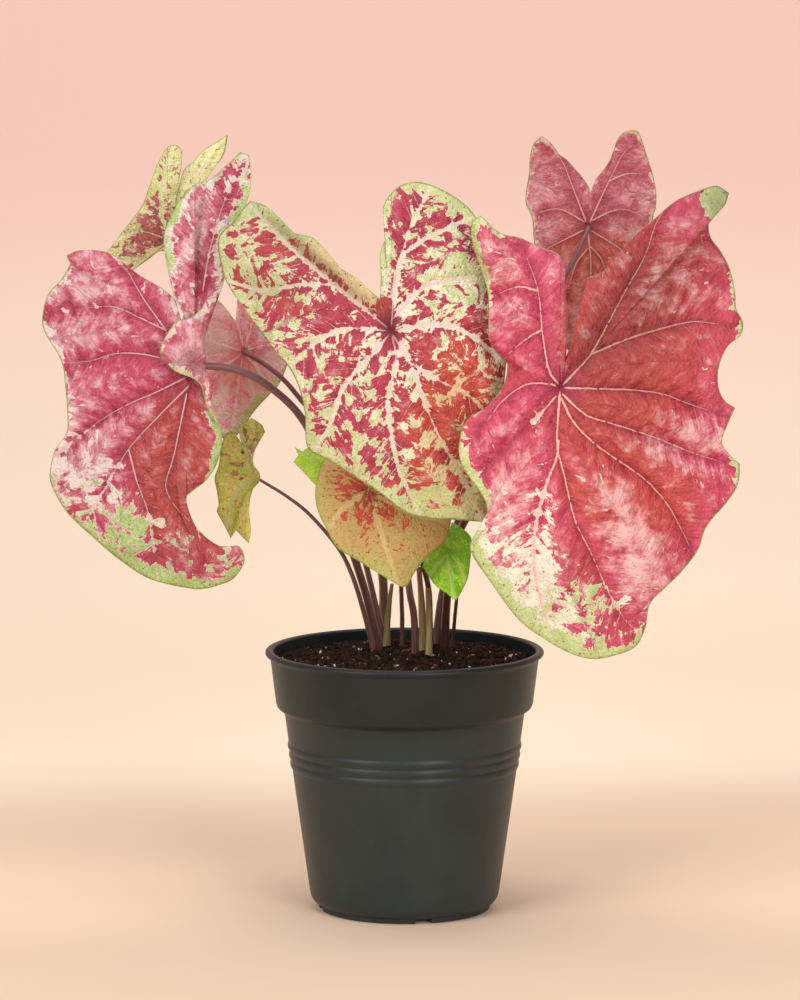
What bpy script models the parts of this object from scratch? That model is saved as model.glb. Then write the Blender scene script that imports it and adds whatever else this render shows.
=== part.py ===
"""Potted caladium: ten arrow-shaped leaves on stalks that rise from a tuber, in a round moulded grow pot.

Metres, +Z up. The origin is the middle of the pot's underside, on the surface it stands on.
"""

import math
from dataclasses import dataclass

import bmesh
import bpy
from mathutils import Vector, noise

# Pot: outer radii and heights
POT_HEIGHT = 0.160
RIM_RADIUS = 0.085
LIP_HALF_WIDTH = 0.0026
LIP_RISE = 0.0020
LIP_DEPTH = 0.0052
COLLAR_TOP_RADIUS = 0.0814
COLLAR_FOOT_RADIUS = 0.0785
COLLAR_FOOT_HEIGHT = 0.1273
COLLAR_UNDERSIDE = ((0.0777, 0.1250), (0.0756, 0.1234), (0.0736, 0.1217), (0.0731, 0.1198))
BODY_TOP_RADIUS = 0.0732
BODY_TOP_HEIGHT = 0.1205
BODY_WAIST_RADIUS = 0.0677
BODY_WAIST_HEIGHT = 0.0790
BODY_FOOT_RADIUS = 0.0583
BODY_FOOT_HEIGHT = 0.0120
RIB_HEIGHTS = (0.1005, 0.0949, 0.0893)
RIB_RISE = 0.0009
RIB_HALF_WIDTH = 0.0026
WALL = 0.0014
BOTTOM_CORNER = ((0.0575, 0.0078), (0.0560, 0.0052), (0.0541, 0.0037), (0.0528, 0.0033))
INNER_CORNER = (0.0050, 0.0035)
FOOT_RADIUS = 0.0525
FOOT_WALL = 0.0018
FLOOR_RISE = 0.0030
FLOOR_THICKNESS = 0.0016
CENTRE_PAD_RADIUS = 0.0150
DRAFT = 0.0005
DRAIN_RING_RADIUS = 0.0330
DRAIN_RADIUS = 0.0050
DRAIN_COUNT = 6
NOTCH_WIDTH = 0.0100
NOTCH_HEIGHT = 0.0027
NOTCH_COUNT = 4
NOTCH_TURN = math.radians(12.5)
TURN_STEPS = 40

# Soil and tuber
GAP = 0.0003
SOIL_EDGE_HEIGHT = 0.1515
SOIL_MOUND = 0.0055
SOIL_ROUGHNESS = 0.0012
SOIL_GRAIN = 90.0
SOIL_RINGS = (0.20, 0.38, 0.54, 0.70, 0.86, 1.0)
CROWN = (0.002, 0.018)
TUBER_TOP = 0.1300
TUBER_RADIUS = 0.0310
TUBER_HEIGHT = 0.0300
TUBER_FLAT_RADIUS = 0.0265
TUBER_STEPS = 24

# Leaves
BLADE_THICKNESS = 0.0009
BLADE_RINGS = 5
STALK_STRAIGHT = 0.0060
STALK_SAMPLES = 3
STALK_TAPER = 0.6
ROOT_PULL = 0.85
ROOT_STRAIGHT = 0.0050
SHEATH_THICKNESS = 0.0008
SHEATH_SOCKET_RADIUS = 0.0036
SHEATH_SOCKET_DEPTH = 0.0060
SHEATH_DEPTH = 0.0050
SHEATH_COLUMNS = 5
SHEATH_TAPER = 1.5
SHEATH_CUP = math.radians(140)

# Every leaf outline is drawn as it looks from here, on a sheet square to this sight line
VIEWPOINT = Vector((-0.0028, -2.921, 0.636))
SIGHT_PITCH = math.radians(7.5)
ACROSS = Vector((1, 0, 0))
UPWARD = Vector((0, math.sin(SIGHT_PITCH), math.cos(SIGHT_PITCH)))

CHARCOAL = (0.045, 0.045, 0.038)
SOIL_BROWN = (0.035, 0.020, 0.014)
TUBER_BROWN = (0.16, 0.09, 0.05)
STALK_PURPLE = (0.13, 0.045, 0.05)
OLIVE_STALK = (0.10, 0.06, 0.03)
SHEATH_OLIVE = (0.28, 0.25, 0.10)
PINK = (0.62, 0.09, 0.16)
CREAM = (0.75, 0.72, 0.42)
TAN = (0.62, 0.48, 0.22)
DUSKY_PINK = (0.42, 0.12, 0.17)
OLIVE = (0.38, 0.38, 0.08)
GREEN = (0.22, 0.55, 0.06)

PLANT = "potted_caladium"
CUTTERS = "cutters"


@dataclass
class Leaf:
    """One leaf: its blade drawn in steps about the stalk's joint, and its stalk's route through the air.

    Each edge point is (across, up, curl) or (across, up, curl, bend across, bend up, bend toward).
    Curl lifts the edge towards the viewpoint, and bend bows the vein that runs out to that point.
    Arch is how far the farthest edge falls back from a flat sheet, as a share of the reach.
    """

    name: str
    joint: tuple
    reach: float
    lean: tuple
    edge: list
    route: list
    stalk: tuple
    colour: tuple
    arch: float = 0.10
    stalk_in_front: bool = False
    rings: int = BLADE_RINGS


RIGHT = Leaf(
    name="right",
    joint=(0.0911, -0.0900, 0.3296),
    reach=0.1604,
    lean=(-0.10, -0.27),
    arch=0.10,
    edge=[
        (6, 30, -1), (10, 40, -2), (21, 58, -4), (26, 76, -5), (25, 94, -5), (27, 110, -6),
        (44, 117, -6), (58, 134, -8), (80, 157, -10), (99, 173, -12), (116, 187, -12),
        (136, 196, -9), (156, 202, -3), (169, 195, 5), (164, 182, 5), (150, 170, -3),
        (150, 152, -9), (161, 136, -14), (170, 118, -16), (175, 97, -12), (176, 80, -9),
        (183, 65, -14), (180, 52, -15), (168, 42, -9), (159, 22, -4), (158, 3, -6),
        (164, -12, -11), (175, -20, -15), (167, -38, -11), (162, -54, -8), (170, -67, -13),
        (180, -76, -18), (178, -96, -19), (167, -114, -14), (147, -138, -10), (138, -162, -14),
        (122, -183, -11), (104, -201, -6), (90, -216, -6), (85, -241, -10), (76, -258, -7),
        (60, -266, -1), (35, -271, 4), (12, -266, 6), (-14, -252, 4), (-41, -232, 0),
        (-68, -196, -6), (-88, -166, -10), (-88, -152, -12), (-76, -136, -14), (-73, -120, -14),
        (-80, -104, -11), (-97, -80, -7), (-101, -58, -6), (-94, -34, -9), (-70, -16, -14),
        (-56, 4, -14), (-53, 24, -12), (-62, 34, -10), (-71, 50, -8), (-71, 80, -10),
        (-74, 104, -12), (-88, 148, -6), (-88, 168, 3), (-79, 172, 8), (-60, 155, -2),
        (-39, 150, -6), (-20, 141, -6), (-2, 134, -5), (5, 120, -4), (4, 104, -4),
        (7, 78, -3), (7, 52, -2),
    ],
    route=[
        (0.0245, 0.0250, 0.158), (0.0260, 0.0160, 0.188), (0.0300, 0.0050, 0.217),
        (0.0370, -0.0120, 0.241), (0.0600, -0.0400, 0.275), (0.0820, -0.0640, 0.308),
    ],
    stalk=(0.0030, 0.0020),
    colour=PINK,
    rings=4,
)

CENTRE = Leaf(
    name="centre",
    joint=(-0.0081, -0.0700, 0.3613),
    reach=0.1254,
    lean=(-0.10, -0.24),
    arch=0.10,
    edge=[
        (-11, 32, -1), (-10, 55, -3), (-11, 76, -5), (-6, 91, -6), (1, 103, -7), (-2, 116, -6),
        (-8, 124, -4), (-2, 135, -4), (9, 145, -7), (24, 149, -9), (40, 146, -10),
        (57, 138, -12), (72, 128, -14), (83, 116, -16), (97, 91, -18), (106, 56, -18),
        (112, 21, -16), (115, -14, -14), (114, -44, -14), (109, -79, -14), (106, -119, -14),
        (105, -154, -14), (99, -177, -10), (93, -191, -6), (79, -190, -9), (54, -188, -11),
        (28, -186, -12), (10, -178, -10), (-11, -162, -9), (-36, -146, -9), (-61, -130, -11),
        (-79, -121, -13), (-85, -110, -13), (-86, -82, -10), (-92, -57, -9), (-101, -38, -10),
        (-115, -21, -12), (-132, 2, -14), (-149, 25, -16), (-164, 48, -18), (-170, 67, -20),
        (-173, 88, -20), (-169, 99, -19), (-157, 109, -16), (-149, 121, -15), (-141, 130, -16),
        (-126, 125, -14), (-113, 114, -12), (-105, 101, -10), (-90, 96, -8), (-78, 93, -7),
        (-65, 80, -6), (-52, 64, -5), (-35, 53, -4), (-22, 41, -2),
    ],
    route=[
        (0.0064, -0.0080, 0.156), (0.0057, -0.0140, 0.182), (0.0026, -0.0190, 0.201),
        (-0.0010, -0.0210, 0.243), (-0.0035, -0.0260, 0.290), (-0.0060, -0.0430, 0.336),
    ],
    stalk=(0.0026, 0.0017),
    colour=CREAM,
    rings=4,
)

LEFT = Leaf(
    name="left",
    joint=(-0.1256, -0.0300, 0.3376),
    reach=0.1349,
    lean=(0.10, -0.18),
    arch=0.06,
    edge=[
        (-13, 41, -2), (-11, 50, 2, 3, 0, 0), (-13, 54, 2, 4, 0, 0), (-20, 66, 4, 6, 0, 0),
        (-24, 80, 5, 5, 0, 0), (-29, 104, 7, 5, 0, 0), (-31, 127, 8, 4, 0, 0),
        (-24, 147, 8, 1, 0, 0), (-15, 163, 7), (-1, 178, 4), (17, 185, -8, -7, 0, -6),
        (29, 196, -2, -4, 0, -3), (45, 211, 4), (54, 208, 6), (56, 186, 8), (52, 163, 10),
        (40, 143, 10), (25, 133, 7), (23, 116, 5), (28, 98, 5), (29, 84, 7),
        (24, 68, 10, -2, 0, 3), (12, 64, 12, 0, 0, 6), (8, 57, 13, 2, 0, 6), (1, 50, 14, 6, 0, 7),
        (-7, 45, 15, 10, 0, 7), (-17, 43, 16, 16, -2, 8), (-24, 36, 17, 20, -3, 8),
        (-30, 26, 18, 23, -4, 8), (-34, 17, 18, 24, -5, 8), (-35, 11, 18, 24, -5, 8),
        (-32, 4, 18, 23, -6, 8), (-26, -2, 18, 21, -6, 8), (-20, -7, 18, 19, -6, 8),
        (-11, -11, 18, 17, -5, 7), (-1, -15, 17, 14, -3, 6), (6, -22, 16, 12, -2, 6),
        (9, -33, 15, 13, -3, 5), (12, -44, 13, 9, -4, 4), (18, -55, 12, 3, -2, 3),
        (25, -64, 10, 0, 0, 2), (27, -78, 8), (24, -92, 8), (19, -105, 8), (11, -116, 6),
        (1, -124, 4, -2, 0, 0), (-9, -132, 0, -5, 0, 0), (-8, -146, 0, -8, -6, 0),
        (3, -165, 2, -15, -20, 0), (15, -176, 4, -21, -28, 0), (24, -181, 7, -26, -34, 0),
        (33, -183, 12, -32, -46, 0), (41, -181, 16, -36, -52, 0), (47, -185, 18, -38, -50, 0),
        (49, -198, 17, -38, -44, 0), (39, -213, 12, -32, -34, 0), (27, -219, 7, -24, -26, 0),
        (9, -224, 3, -14, -16, 0), (-8, -223, 0, -6, -8, 0), (-45, -214, -4), (-75, -195, -6),
        (-101, -173, -8), (-128, -147, -8), (-143, -120, -8), (-144, -104, -6), (-139, -85, -4),
        (-128, -69, -2), (-127, -50, -2), (-129, -23, -4), (-133, 3, -8), (-147, 27, -12),
        (-152, 42, -14), (-147, 68, -12), (-133, 84, -8), (-124, 100, -4), (-128, 108, -1),
        (-115, 113, -4), (-91, 112, -6), (-77, 105, -6), (-56, 89, -5), (-34, 76, -4),
        (-21, 65, -3), (-18, 58, -3, -2, 0, 0), (-16, 49, -2),
    ],
    route=[
        (-0.0157, 0.0150, 0.157), (-0.0211, 0.0100, 0.182), (-0.0272, 0.0060, 0.2045),
        (-0.0422, -0.0040, 0.252), (-0.0601, -0.0120, 0.2995), (-0.0840, -0.0170, 0.3243),
        (-0.1049, -0.0200, 0.3337),
    ],
    stalk=(0.0027, 0.0022),
    colour=PINK,
)

MID_LEFT = Leaf(
    name="mid_left",
    joint=(-0.0985, 0.0400, 0.3377),
    reach=0.0560,
    lean=(0.05, 0.02),
    arch=-0.12,
    edge=[
        (-8, 31, 0), (-7, 47, 0), (-4, 67, -2), (11, 77, -4), (28, 62, -5), (41, 32, -5),
        (46, 7, -5), (43, -13, -5), (35, -32, -4), (24, -44, -3), (13, -56, -2), (4, -68, -1),
        (-6, -82, 1), (-15, -90, 2), (-29, -80, 0), (-44, -63, -2), (-54, -38, -3),
        (-57, -8, -4), (-54, 22, -3), (-46, 44, -2), (-30, 52, -1), (-23, 49, 0),
        (-17, 42, 0), (-11, 34, 0),
    ],
    route=[
        (-0.0120, 0.0300, 0.1574), (-0.0163, 0.0290, 0.1762), (-0.0237, 0.0280, 0.2075),
        (-0.0365, 0.0270, 0.2602), (-0.0542, 0.0260, 0.2974), (-0.0639, 0.0260, 0.3103),
        (-0.0749, 0.0270, 0.3230), (-0.0873, 0.0300, 0.3323),
    ],
    stalk=(0.0022, 0.0014),
    colour=PINK,
    stalk_in_front=True,
    rings=4,
)

BACK_LEFT = Leaf(
    name="back_left",
    joint=(-0.1459, 0.0650, 0.4046),
    reach=0.0746,
    lean=(-0.15, -0.10),
    arch=0.06,
    edge=[
        (8, 40, 0), (15, 68, -6), (25, 78, -8, -2, 0, 0), (36, 90, -8, -4, 0, 0),
        (47, 97, -8, -6, 0, 0), (60, 105, -6, -9, 0, 0), (56, 86, -7, -9, 0, 0),
        (47, 73, -7, -7, 0, 0), (37, 59, -6, -5, 0, 0), (28, 48.5, -4), (24, 34, -2),
        (24, 16, 0), (21, 0, 0), (10, -10, 0), (-3, -11, 0), (-10, -12, 0), (-18, -18, 0),
        (-33, -29, 1), (-58, -48, 2), (-83, -65, 3), (-78, -40, 0), (-63, -15, -1),
        (-57, -7, -2), (-38, 18, -2), (-25, 36, -2), (-18, 56, 0), (-10, 77, 2), (0, 93, 4),
        (9, 95, 5), (14, 88, 4), (13, 72, 2), (10, 54, 1),
    ],
    route=[
        (-0.0133, 0.0420, 0.1586), (-0.0133, 0.0440, 0.1958), (-0.0201, 0.0500, 0.2324),
        (-0.0325, 0.0560, 0.2753), (-0.0491, 0.0600, 0.3245), (-0.0737, 0.0600, 0.3741),
        (-0.1043, 0.0550, 0.4003), (-0.1300, 0.0540, 0.4060),
    ],
    stalk=(0.0037, 0.0014),
    colour=OLIVE,
    stalk_in_front=True,
    rings=4,
)

BACK_RIGHT = Leaf(
    name="back_right",
    joint=(0.1129, 0.0600, 0.4136),
    reach=0.0917,
    lean=(-0.05, 0.26),
    arch=-0.10,
    edge=[
        (3, 34, 0), (8, 47, 0), (17, 58, 0), (24, 70, -1), (29, 85, -2), (35, 93, -3),
        (44, 96, -4), (51, 94, -5), (55, 83, -5), (60, 67, -5), (65, 51, -4), (68, 35, -4),
        (68, 20, -4), (65, 8, -4), (62, -19, -4), (52, -49, -4), (37, -79, -3), (17, -114, -1),
        (-5, -149, 2), (-23, -119, 0), (-38, -84, -3), (-50, -49, -5), (-54, -17, -5),
        (-55, -1, -5), (-57, 11, -6), (-62, 22, -7), (-62, 35, -7), (-59, 52, -6),
        (-58, 70, -5), (-54, 83, -4), (-46, 90, 0), (-37, 83, -1), (-29, 72, -1),
        (-22, 67, 0), (-12, 56, 0), (-3, 45, 0),
    ],
    route=[
        (0.0195, 0.0420, 0.1586), (0.0225, 0.0420, 0.1836), (0.0293, 0.0420, 0.2148),
        (0.0323, 0.0420, 0.2316), (0.0526, 0.0430, 0.2767), (0.0710, 0.0440, 0.3198),
        (0.0863, 0.0440, 0.3598), (0.0961, 0.0450, 0.3794), (0.1060, 0.0480, 0.3985),
    ],
    stalk=(0.0028, 0.0014),
    colour=DUSKY_PINK,
    stalk_in_front=True,
    rings=4,
)

LOW_LEFT = Leaf(
    name="low_left",
    joint=(-0.0897, 0.0000, 0.2649),
    reach=0.0398,
    lean=(0.30, -0.18),
    arch=0.08,
    edge=[
        (-11, 28, 0), (-17, 41, -1), (-18, 52, -3), (-5, 60, -6, -6, 0, 0), (5, 53, -8, -8, 0, 0),
        (8, 46, -9, -9, 0, 0), (1, 34, -6, -5, 0, 0), (-4, 23, -3, -2, 0, 0), (-3, 13, -1),
        (3, 4, 0), (2, -4, 0), (-5, -12, 0), (-7, -22, 0, -2, 0, 0), (-8, -34, 1, -3, 0, 0),
        (-6, -52, 2, -5, 0, 0), (-8, -65, 3, -5, 0, 0), (-21, -52, 0, -4, 0, 0),
        (-26, -60, -7, -4, 0, 0), (-32, -48, -7), (-40, -33, -6), (-38, -27, -2),
        (-40, -12, -1), (-42, 0, -2), (-38, 13, -2), (-36, 28, -2), (-32, 42, -2), (-25, 48, 0),
        (-16, 36, 1),
    ],
    route=[
        (-0.0193, 0.0060, 0.158), (-0.0248, 0.0020, 0.182), (-0.0320, -0.0020, 0.2057),
        (-0.0405, -0.0020, 0.2225), (-0.0574, 0.0010, 0.2420), (-0.0720, 0.0030, 0.2535),
    ],
    stalk=(0.0021, 0.0009),
    colour=OLIVE,
    rings=4,
)

LOW_CENTRE = Leaf(
    name="low_centre",
    joint=(-0.0207, -0.0450, 0.2634),
    reach=0.0609,
    lean=(0.00, -0.20),
    arch=0.08,
    edge=[
        (2, 25, 0), (15, 40, -2), (35, 45, -4), (55, 35, -5), (70, 15, -6), (80, -10, -7),
        (81, -33, -7), (74, -53, -5), (58, -67, -3), (46, -81, -2), (38, -95, -1), (31, -97, 0),
        (17, -89, -1), (-1, -78, -3), (-19, -67, -4), (-33, -58, -5), (-44, -39, -6),
        (-53, -19, -7), (-55, -3, -7), (-53, 11, -6), (-47, 29, -4), (-35, 42, -3),
        (-20, 45, -2), (-7, 35, 0),
    ],
    route=[
        (0.0156, 0.0200, 0.156), (0.0156, 0.0140, 0.1755), (0.0143, 0.0060, 0.1983),
        (0.0063, -0.0080, 0.2252), (-0.0058, -0.0200, 0.2485), (-0.0150, -0.0300, 0.2590),
    ],
    stalk=(0.0021, 0.0014),
    colour=TAN,
    rings=4,
)

LOW_RIGHT = Leaf(
    name="low_right",
    joint=(0.0267, -0.0320, 0.2259),
    reach=0.0315,
    lean=(0.00, -0.42),
    arch=0.14,
    edge=[
        (-5, 6, 0), (-3, 12, 0), (0, 18, -1), (3, 27, -3), (13, 21, -2), (22, 11, -2),
        (22, -3, -2), (21, -13, -2), (19, -28, -1), (14, -40, 0), (7, -52, 2), (-2, -45, 1),
        (-13, -37, 0), (-20, -28, -1), (-27, -18, -3), (-23, -9, -2), (-15, -2, 0), (-9, 4, 0),
    ],
    route=[
        (0.0290, 0.0200, 0.158), (0.0309, 0.0120, 0.179), (0.0319, 0.0000, 0.196),
        (0.0305, -0.0120, 0.2120),
    ],
    stalk=(0.0014, 0.0009),
    colour=GREEN,
    rings=4,
)

SMALL = Leaf(
    name="small",
    joint=(-0.0479, -0.0280, 0.2757),
    reach=0.0216,
    lean=(0.20, 0.00),
    arch=0.10,
    edge=[
        (-30, 19, 0), (-23, 14, 0), (-15, 19, -1), (0, 25, -2), (18, 18, -3), (25, -2, -3),
        (15, -20, -3), (0, -24, -2), (-11, -17, -1), (-21, -6, 0), (-31, 4, 2), (-26, 11, 1),
    ],
    route=[
        (-0.0016, 0.0260, 0.158), (-0.0016, 0.0240, 0.180), (-0.0040, 0.0180, 0.2117),
        (-0.0150, 0.0060, 0.2437), (-0.0332, -0.0040, 0.2642),
    ],
    stalk=(0.0018, 0.0010),
    colour=GREEN,
    rings=3,
)

LEAVES = (
    RIGHT, CENTRE, LEFT, MID_LEFT, BACK_LEFT, BACK_RIGHT, LOW_LEFT, LOW_CENTRE, LOW_RIGHT, SMALL,
)

# Sheaths: the middle line from the soil up, and the cup's radius at the foot and at the tip
SHEATHS = {
    "left": (
        [(-0.0112, 0.0230, 0.1565), (-0.0102, 0.0250, 0.1767), (-0.0077, 0.0275, 0.1960)],
        (0.0026, 0.0007),
    ),
    "middle": (
        [(0.0110, 0.0060, 0.1565), (0.0106, 0.0020, 0.1835), (0.0087, -0.0040, 0.2110)],
        (0.0026, 0.0012),
    ),
    "right": (
        [(0.0146, -0.0120, 0.1560), (0.0148, -0.0100, 0.1792), (0.0142, -0.0080, 0.1986)],
        (0.0022, 0.0012),
    ),
}


def clear_scene():
    """Empties the scene."""
    for item in list(bpy.data.objects):
        bpy.data.objects.remove(item, do_unlink=True)


def new_collection(name):
    """A collection linked to the scene."""
    group = bpy.data.collections.new(name)
    bpy.context.scene.collection.children.link(group)
    return group


def material(name, colour, roughness):
    """A plain Principled material."""
    made = bpy.data.materials.new(name)
    made.use_nodes = True
    shader = made.node_tree.nodes["Principled BSDF"]
    shader.inputs["Base Color"].default_value = (*colour, 1)
    shader.inputs["Roughness"].default_value = roughness
    shader.inputs["Metallic"].default_value = 0.0
    return made


def add_object(name, data, group, finish=None):
    """Links an object that shows the given data."""
    made = bpy.data.objects.new(name, data)
    group.objects.link(made)
    if finish:
        data.materials.append(finish)
    return made


def mesh_of(made, group):
    """A plain mesh object in place of one whose shape comes from modifiers or a curve."""
    bpy.context.view_layer.update()
    evaluated = made.evaluated_get(bpy.context.evaluated_depsgraph_get())
    data = bpy.data.meshes.new_from_object(evaluated)
    name, matrix = made.name, made.matrix_world.copy()
    bpy.data.objects.remove(made, do_unlink=True)
    work = bmesh.new()
    work.from_mesh(data)
    bmesh.ops.remove_doubles(work, verts=work.verts, dist=1e-6)
    work.to_mesh(data)
    work.free()
    plain = bpy.data.objects.new(name, data)
    plain.matrix_world = matrix
    group.objects.link(plain)
    return plain


def turned(name, profile, group, finish=None, steps=TURN_STEPS):
    """A turned shape from (radius, height) points, up the inside and down the outside."""
    data = bpy.data.meshes.new(name)
    points = [(radius, 0, height) for radius, height in profile]
    data.from_pydata(points, [(i, i + 1) for i in range(len(points) - 1)], [])
    made = add_object(name, data, group, finish)
    screw = made.modifiers.new("turn", "SCREW")
    screw.axis = "Z"
    screw.angle = math.tau
    screw.steps = steps
    screw.render_steps = steps
    screw.use_merge_vertices = True
    screw.merge_threshold = 0.0001
    screw.use_smooth_shade = True
    return made


def cut(made, cutter):
    """Takes the cutter's shape out of a solid."""
    cutter.hide_render = True
    cutter.display_type = "WIRE"
    boolean = made.modifiers.new("cut " + cutter.name, "BOOLEAN")
    boolean.operation = "DIFFERENCE"
    boolean.solver = "EXACT"
    boolean.object = cutter


def body_radius(height):
    """The outer radius of the pot's body wall at a height, ribs left out."""
    if height < BODY_WAIST_HEIGHT:
        low, high = (BODY_FOOT_HEIGHT, BODY_FOOT_RADIUS), (BODY_WAIST_HEIGHT, BODY_WAIST_RADIUS)
    else:
        low, high = (BODY_WAIST_HEIGHT, BODY_WAIST_RADIUS), (BODY_TOP_HEIGHT, BODY_TOP_RADIUS)
    share = (height - low[0]) / (high[0] - low[0])
    return low[1] + share * (high[1] - low[1])


def inner_wall(clearance):
    """The hollow's wall from the floor's edge up to the collar, set in by a clearance."""
    inset = WALL + clearance
    floor = FLOOR_RISE + FLOOR_THICKNESS + clearance
    corner_width, corner_height = INNER_CORNER
    return [
        (BODY_FOOT_RADIUS - inset - corner_width, floor),
        (BODY_FOOT_RADIUS - inset - corner_width / 4, floor + corner_height),
        (BODY_FOOT_RADIUS - inset, BODY_FOOT_HEIGHT),
        (BODY_WAIST_RADIUS - inset, BODY_WAIST_HEIGHT),
        (BODY_TOP_RADIUS - inset, BODY_TOP_HEIGHT + WALL),
        (collar_hollow_radius(COLLAR_FOOT_HEIGHT) - clearance, COLLAR_FOOT_HEIGHT),
    ]


def collar_hollow_radius(height):
    """The inner radius of the collar at a height."""
    share = (height - COLLAR_FOOT_HEIGHT) / (POT_HEIGHT - LIP_DEPTH - COLLAR_FOOT_HEIGHT)
    return COLLAR_FOOT_RADIUS + share * (COLLAR_TOP_RADIUS - COLLAR_FOOT_RADIUS) - WALL


def lip_profile():
    """The rolled lip, over the top from the inside to the collar's outer wall."""
    centre = RIM_RADIUS - LIP_HALF_WIDTH
    points = [(COLLAR_TOP_RADIUS - WALL, POT_HEIGHT - LIP_DEPTH)]
    for turn in (155, 115, 75, 35, 0, -40):
        angle = math.radians(turn)
        rise = LIP_RISE * (math.sin(angle) - 1)
        points.append((centre + LIP_HALF_WIDTH * math.cos(angle), POT_HEIGHT + rise))
    points.append((COLLAR_TOP_RADIUS + DRAFT, POT_HEIGHT - LIP_DEPTH))
    return points


def rib_profile():
    """The three rounded ribs down the outer wall."""
    points = []
    for height in RIB_HEIGHTS:
        for share in (1.0, 0.5, 0.0, -0.5):
            place = height + share * RIB_HALF_WIDTH
            rise = RIB_RISE * (1 - share * share)
            points.append((body_radius(place) + rise, place))
    last = RIB_HEIGHTS[-1] - RIB_HALF_WIDTH
    points.append((body_radius(last), last))
    return points


def pot_profile():
    """The pot's section: along the inner floor, up the inner wall, over the lip and down the outside."""
    floor_edge = FOOT_RADIUS - FOOT_WALL
    return [
        (0, FLOOR_RISE + FLOOR_THICKNESS),
        *inner_wall(0),
        *lip_profile(),
        (COLLAR_FOOT_RADIUS, COLLAR_FOOT_HEIGHT),
        *COLLAR_UNDERSIDE,
        *rib_profile(),
        (BODY_FOOT_RADIUS, BODY_FOOT_HEIGHT),
        *BOTTOM_CORNER,
        (FOOT_RADIUS, 0),
        (floor_edge, 0),
        (floor_edge - DRAFT, FLOOR_RISE),
        (CENTRE_PAD_RADIUS + DRAFT, FLOOR_RISE),
        (CENTRE_PAD_RADIUS, 0),
        (0, 0),
    ]


def build_pot(group, cutters):
    """The grow pot with its drain holes and foot notches."""
    pot = turned("pot", pot_profile(), group, material("charcoal plastic", CHARCOAL, 0.42))
    for i in range(DRAIN_COUNT):
        angle = math.tau * i / DRAIN_COUNT
        bpy.ops.mesh.primitive_cylinder_add(
            vertices=16,
            radius=DRAIN_RADIUS,
            depth=4 * FLOOR_THICKNESS,
            location=(
                DRAIN_RING_RADIUS * math.cos(angle),
                DRAIN_RING_RADIUS * math.sin(angle),
                FLOOR_RISE + FLOOR_THICKNESS / 2,
            ),
        )
        cut(pot, take_active(f"drain_cutter_{i}", cutters))
    for i in range(NOTCH_COUNT):
        angle = math.tau * i / NOTCH_COUNT - math.pi / 2 + NOTCH_TURN
        bpy.ops.mesh.primitive_cube_add(
            size=1,
            location=(FOOT_RADIUS * math.cos(angle), FOOT_RADIUS * math.sin(angle), 0),
            rotation=(0, 0, angle),
            scale=(6 * FOOT_WALL, NOTCH_WIDTH, 2 * NOTCH_HEIGHT),
        )
        cut(pot, take_active(f"notch_cutter_{i}", cutters))
    return pot


def take_active(name, group):
    """Names the object just added and moves it to a collection."""
    made = bpy.context.active_object
    made.name = name
    for home in list(made.users_collection):
        home.objects.unlink(made)
    group.objects.link(made)
    return made


def soil_height(x, y):
    """The height of the soil's surface, a low lumpy mound that is level where it meets the pot."""
    share = min(1.0, math.hypot(x, y) / collar_hollow_radius(SOIL_EDGE_HEIGHT))
    lumps = noise.noise(Vector((x, y, 0.0)) * SOIL_GRAIN)
    return SOIL_EDGE_HEIGHT + SOIL_MOUND * (1 - share * share) + SOIL_ROUGHNESS * lumps * (1 - share ** 6)


def build_soil(group, cutters):
    """The potting mix, 0.3 mm inside the pot, with the tuber's hollow and a plain hole for each stalk."""
    wall = inner_wall(GAP)
    edge = collar_hollow_radius(SOIL_EDGE_HEIGHT) - GAP
    top = [(edge * share, SOIL_EDGE_HEIGHT) for share in SOIL_RINGS]
    profile = [(0, SOIL_EDGE_HEIGHT), *top, *reversed(wall), (0, wall[0][1])]
    soil = mesh_of(turned("soil", profile, group), group)
    soil.data.materials.append(material("potting mix", SOIL_BROWN, 0.95))
    for vertex in soil.data.vertices:
        if vertex.co.z > SOIL_EDGE_HEIGHT - GAP:
            vertex.co.z = soil_height(vertex.co.x, vertex.co.y)
    hollow = turned("tuber_hollow", tuber_profile(GAP), cutters, steps=TUBER_STEPS)
    hollow.location = (*CROWN, 0)
    cut(soil, hollow)
    for leaf in LEAVES:
        route, radii = stalk_line(leaf)
        low = route[0] - Vector((0, 0, 3 * GAP))
        wide = [radii[0] + GAP, *(radius + GAP for radius in radii)]
        hole = tube("hole_" + leaf.name, [low, *route], wide, cutters)
        cut(soil, mesh_of(hole, cutters))
    for name, (route, _) in SHEATHS.items():
        x, y, _ = route[0]
        top_height = soil_height(x, y) + SHEATH_SOCKET_DEPTH
        bpy.ops.mesh.primitive_cylinder_add(
            vertices=10,
            radius=SHEATH_SOCKET_RADIUS,
            depth=2 * SHEATH_SOCKET_DEPTH,
            location=(x, y, top_height - SHEATH_SOCKET_DEPTH),
        )
        cut(soil, take_active("socket_" + name, cutters))
    return soil


def tuber_profile(clearance):
    """The tuber's section: a flat crown, a round shoulder and a flattened base."""
    radius, half = TUBER_RADIUS + clearance, TUBER_HEIGHT / 2 + clearance
    centre = TUBER_TOP - TUBER_HEIGHT / 2
    points = [(0, centre + half), (TUBER_FLAT_RADIUS, centre + half)]
    for turn in (40, 15, -15, -45, -70):
        angle = math.radians(turn)
        points.append((radius * math.cos(angle) ** 0.5, centre + half * math.sin(angle)))
    points.append((0, centre - half))
    return points


def build_tuber(group):
    """The flattened tuber that every stalk grows from."""
    made = turned("tuber", tuber_profile(0), group, material("tuber skin", TUBER_BROWN, 0.9), TUBER_STEPS)
    made.location = (*CROWN, 0)
    return made


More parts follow.
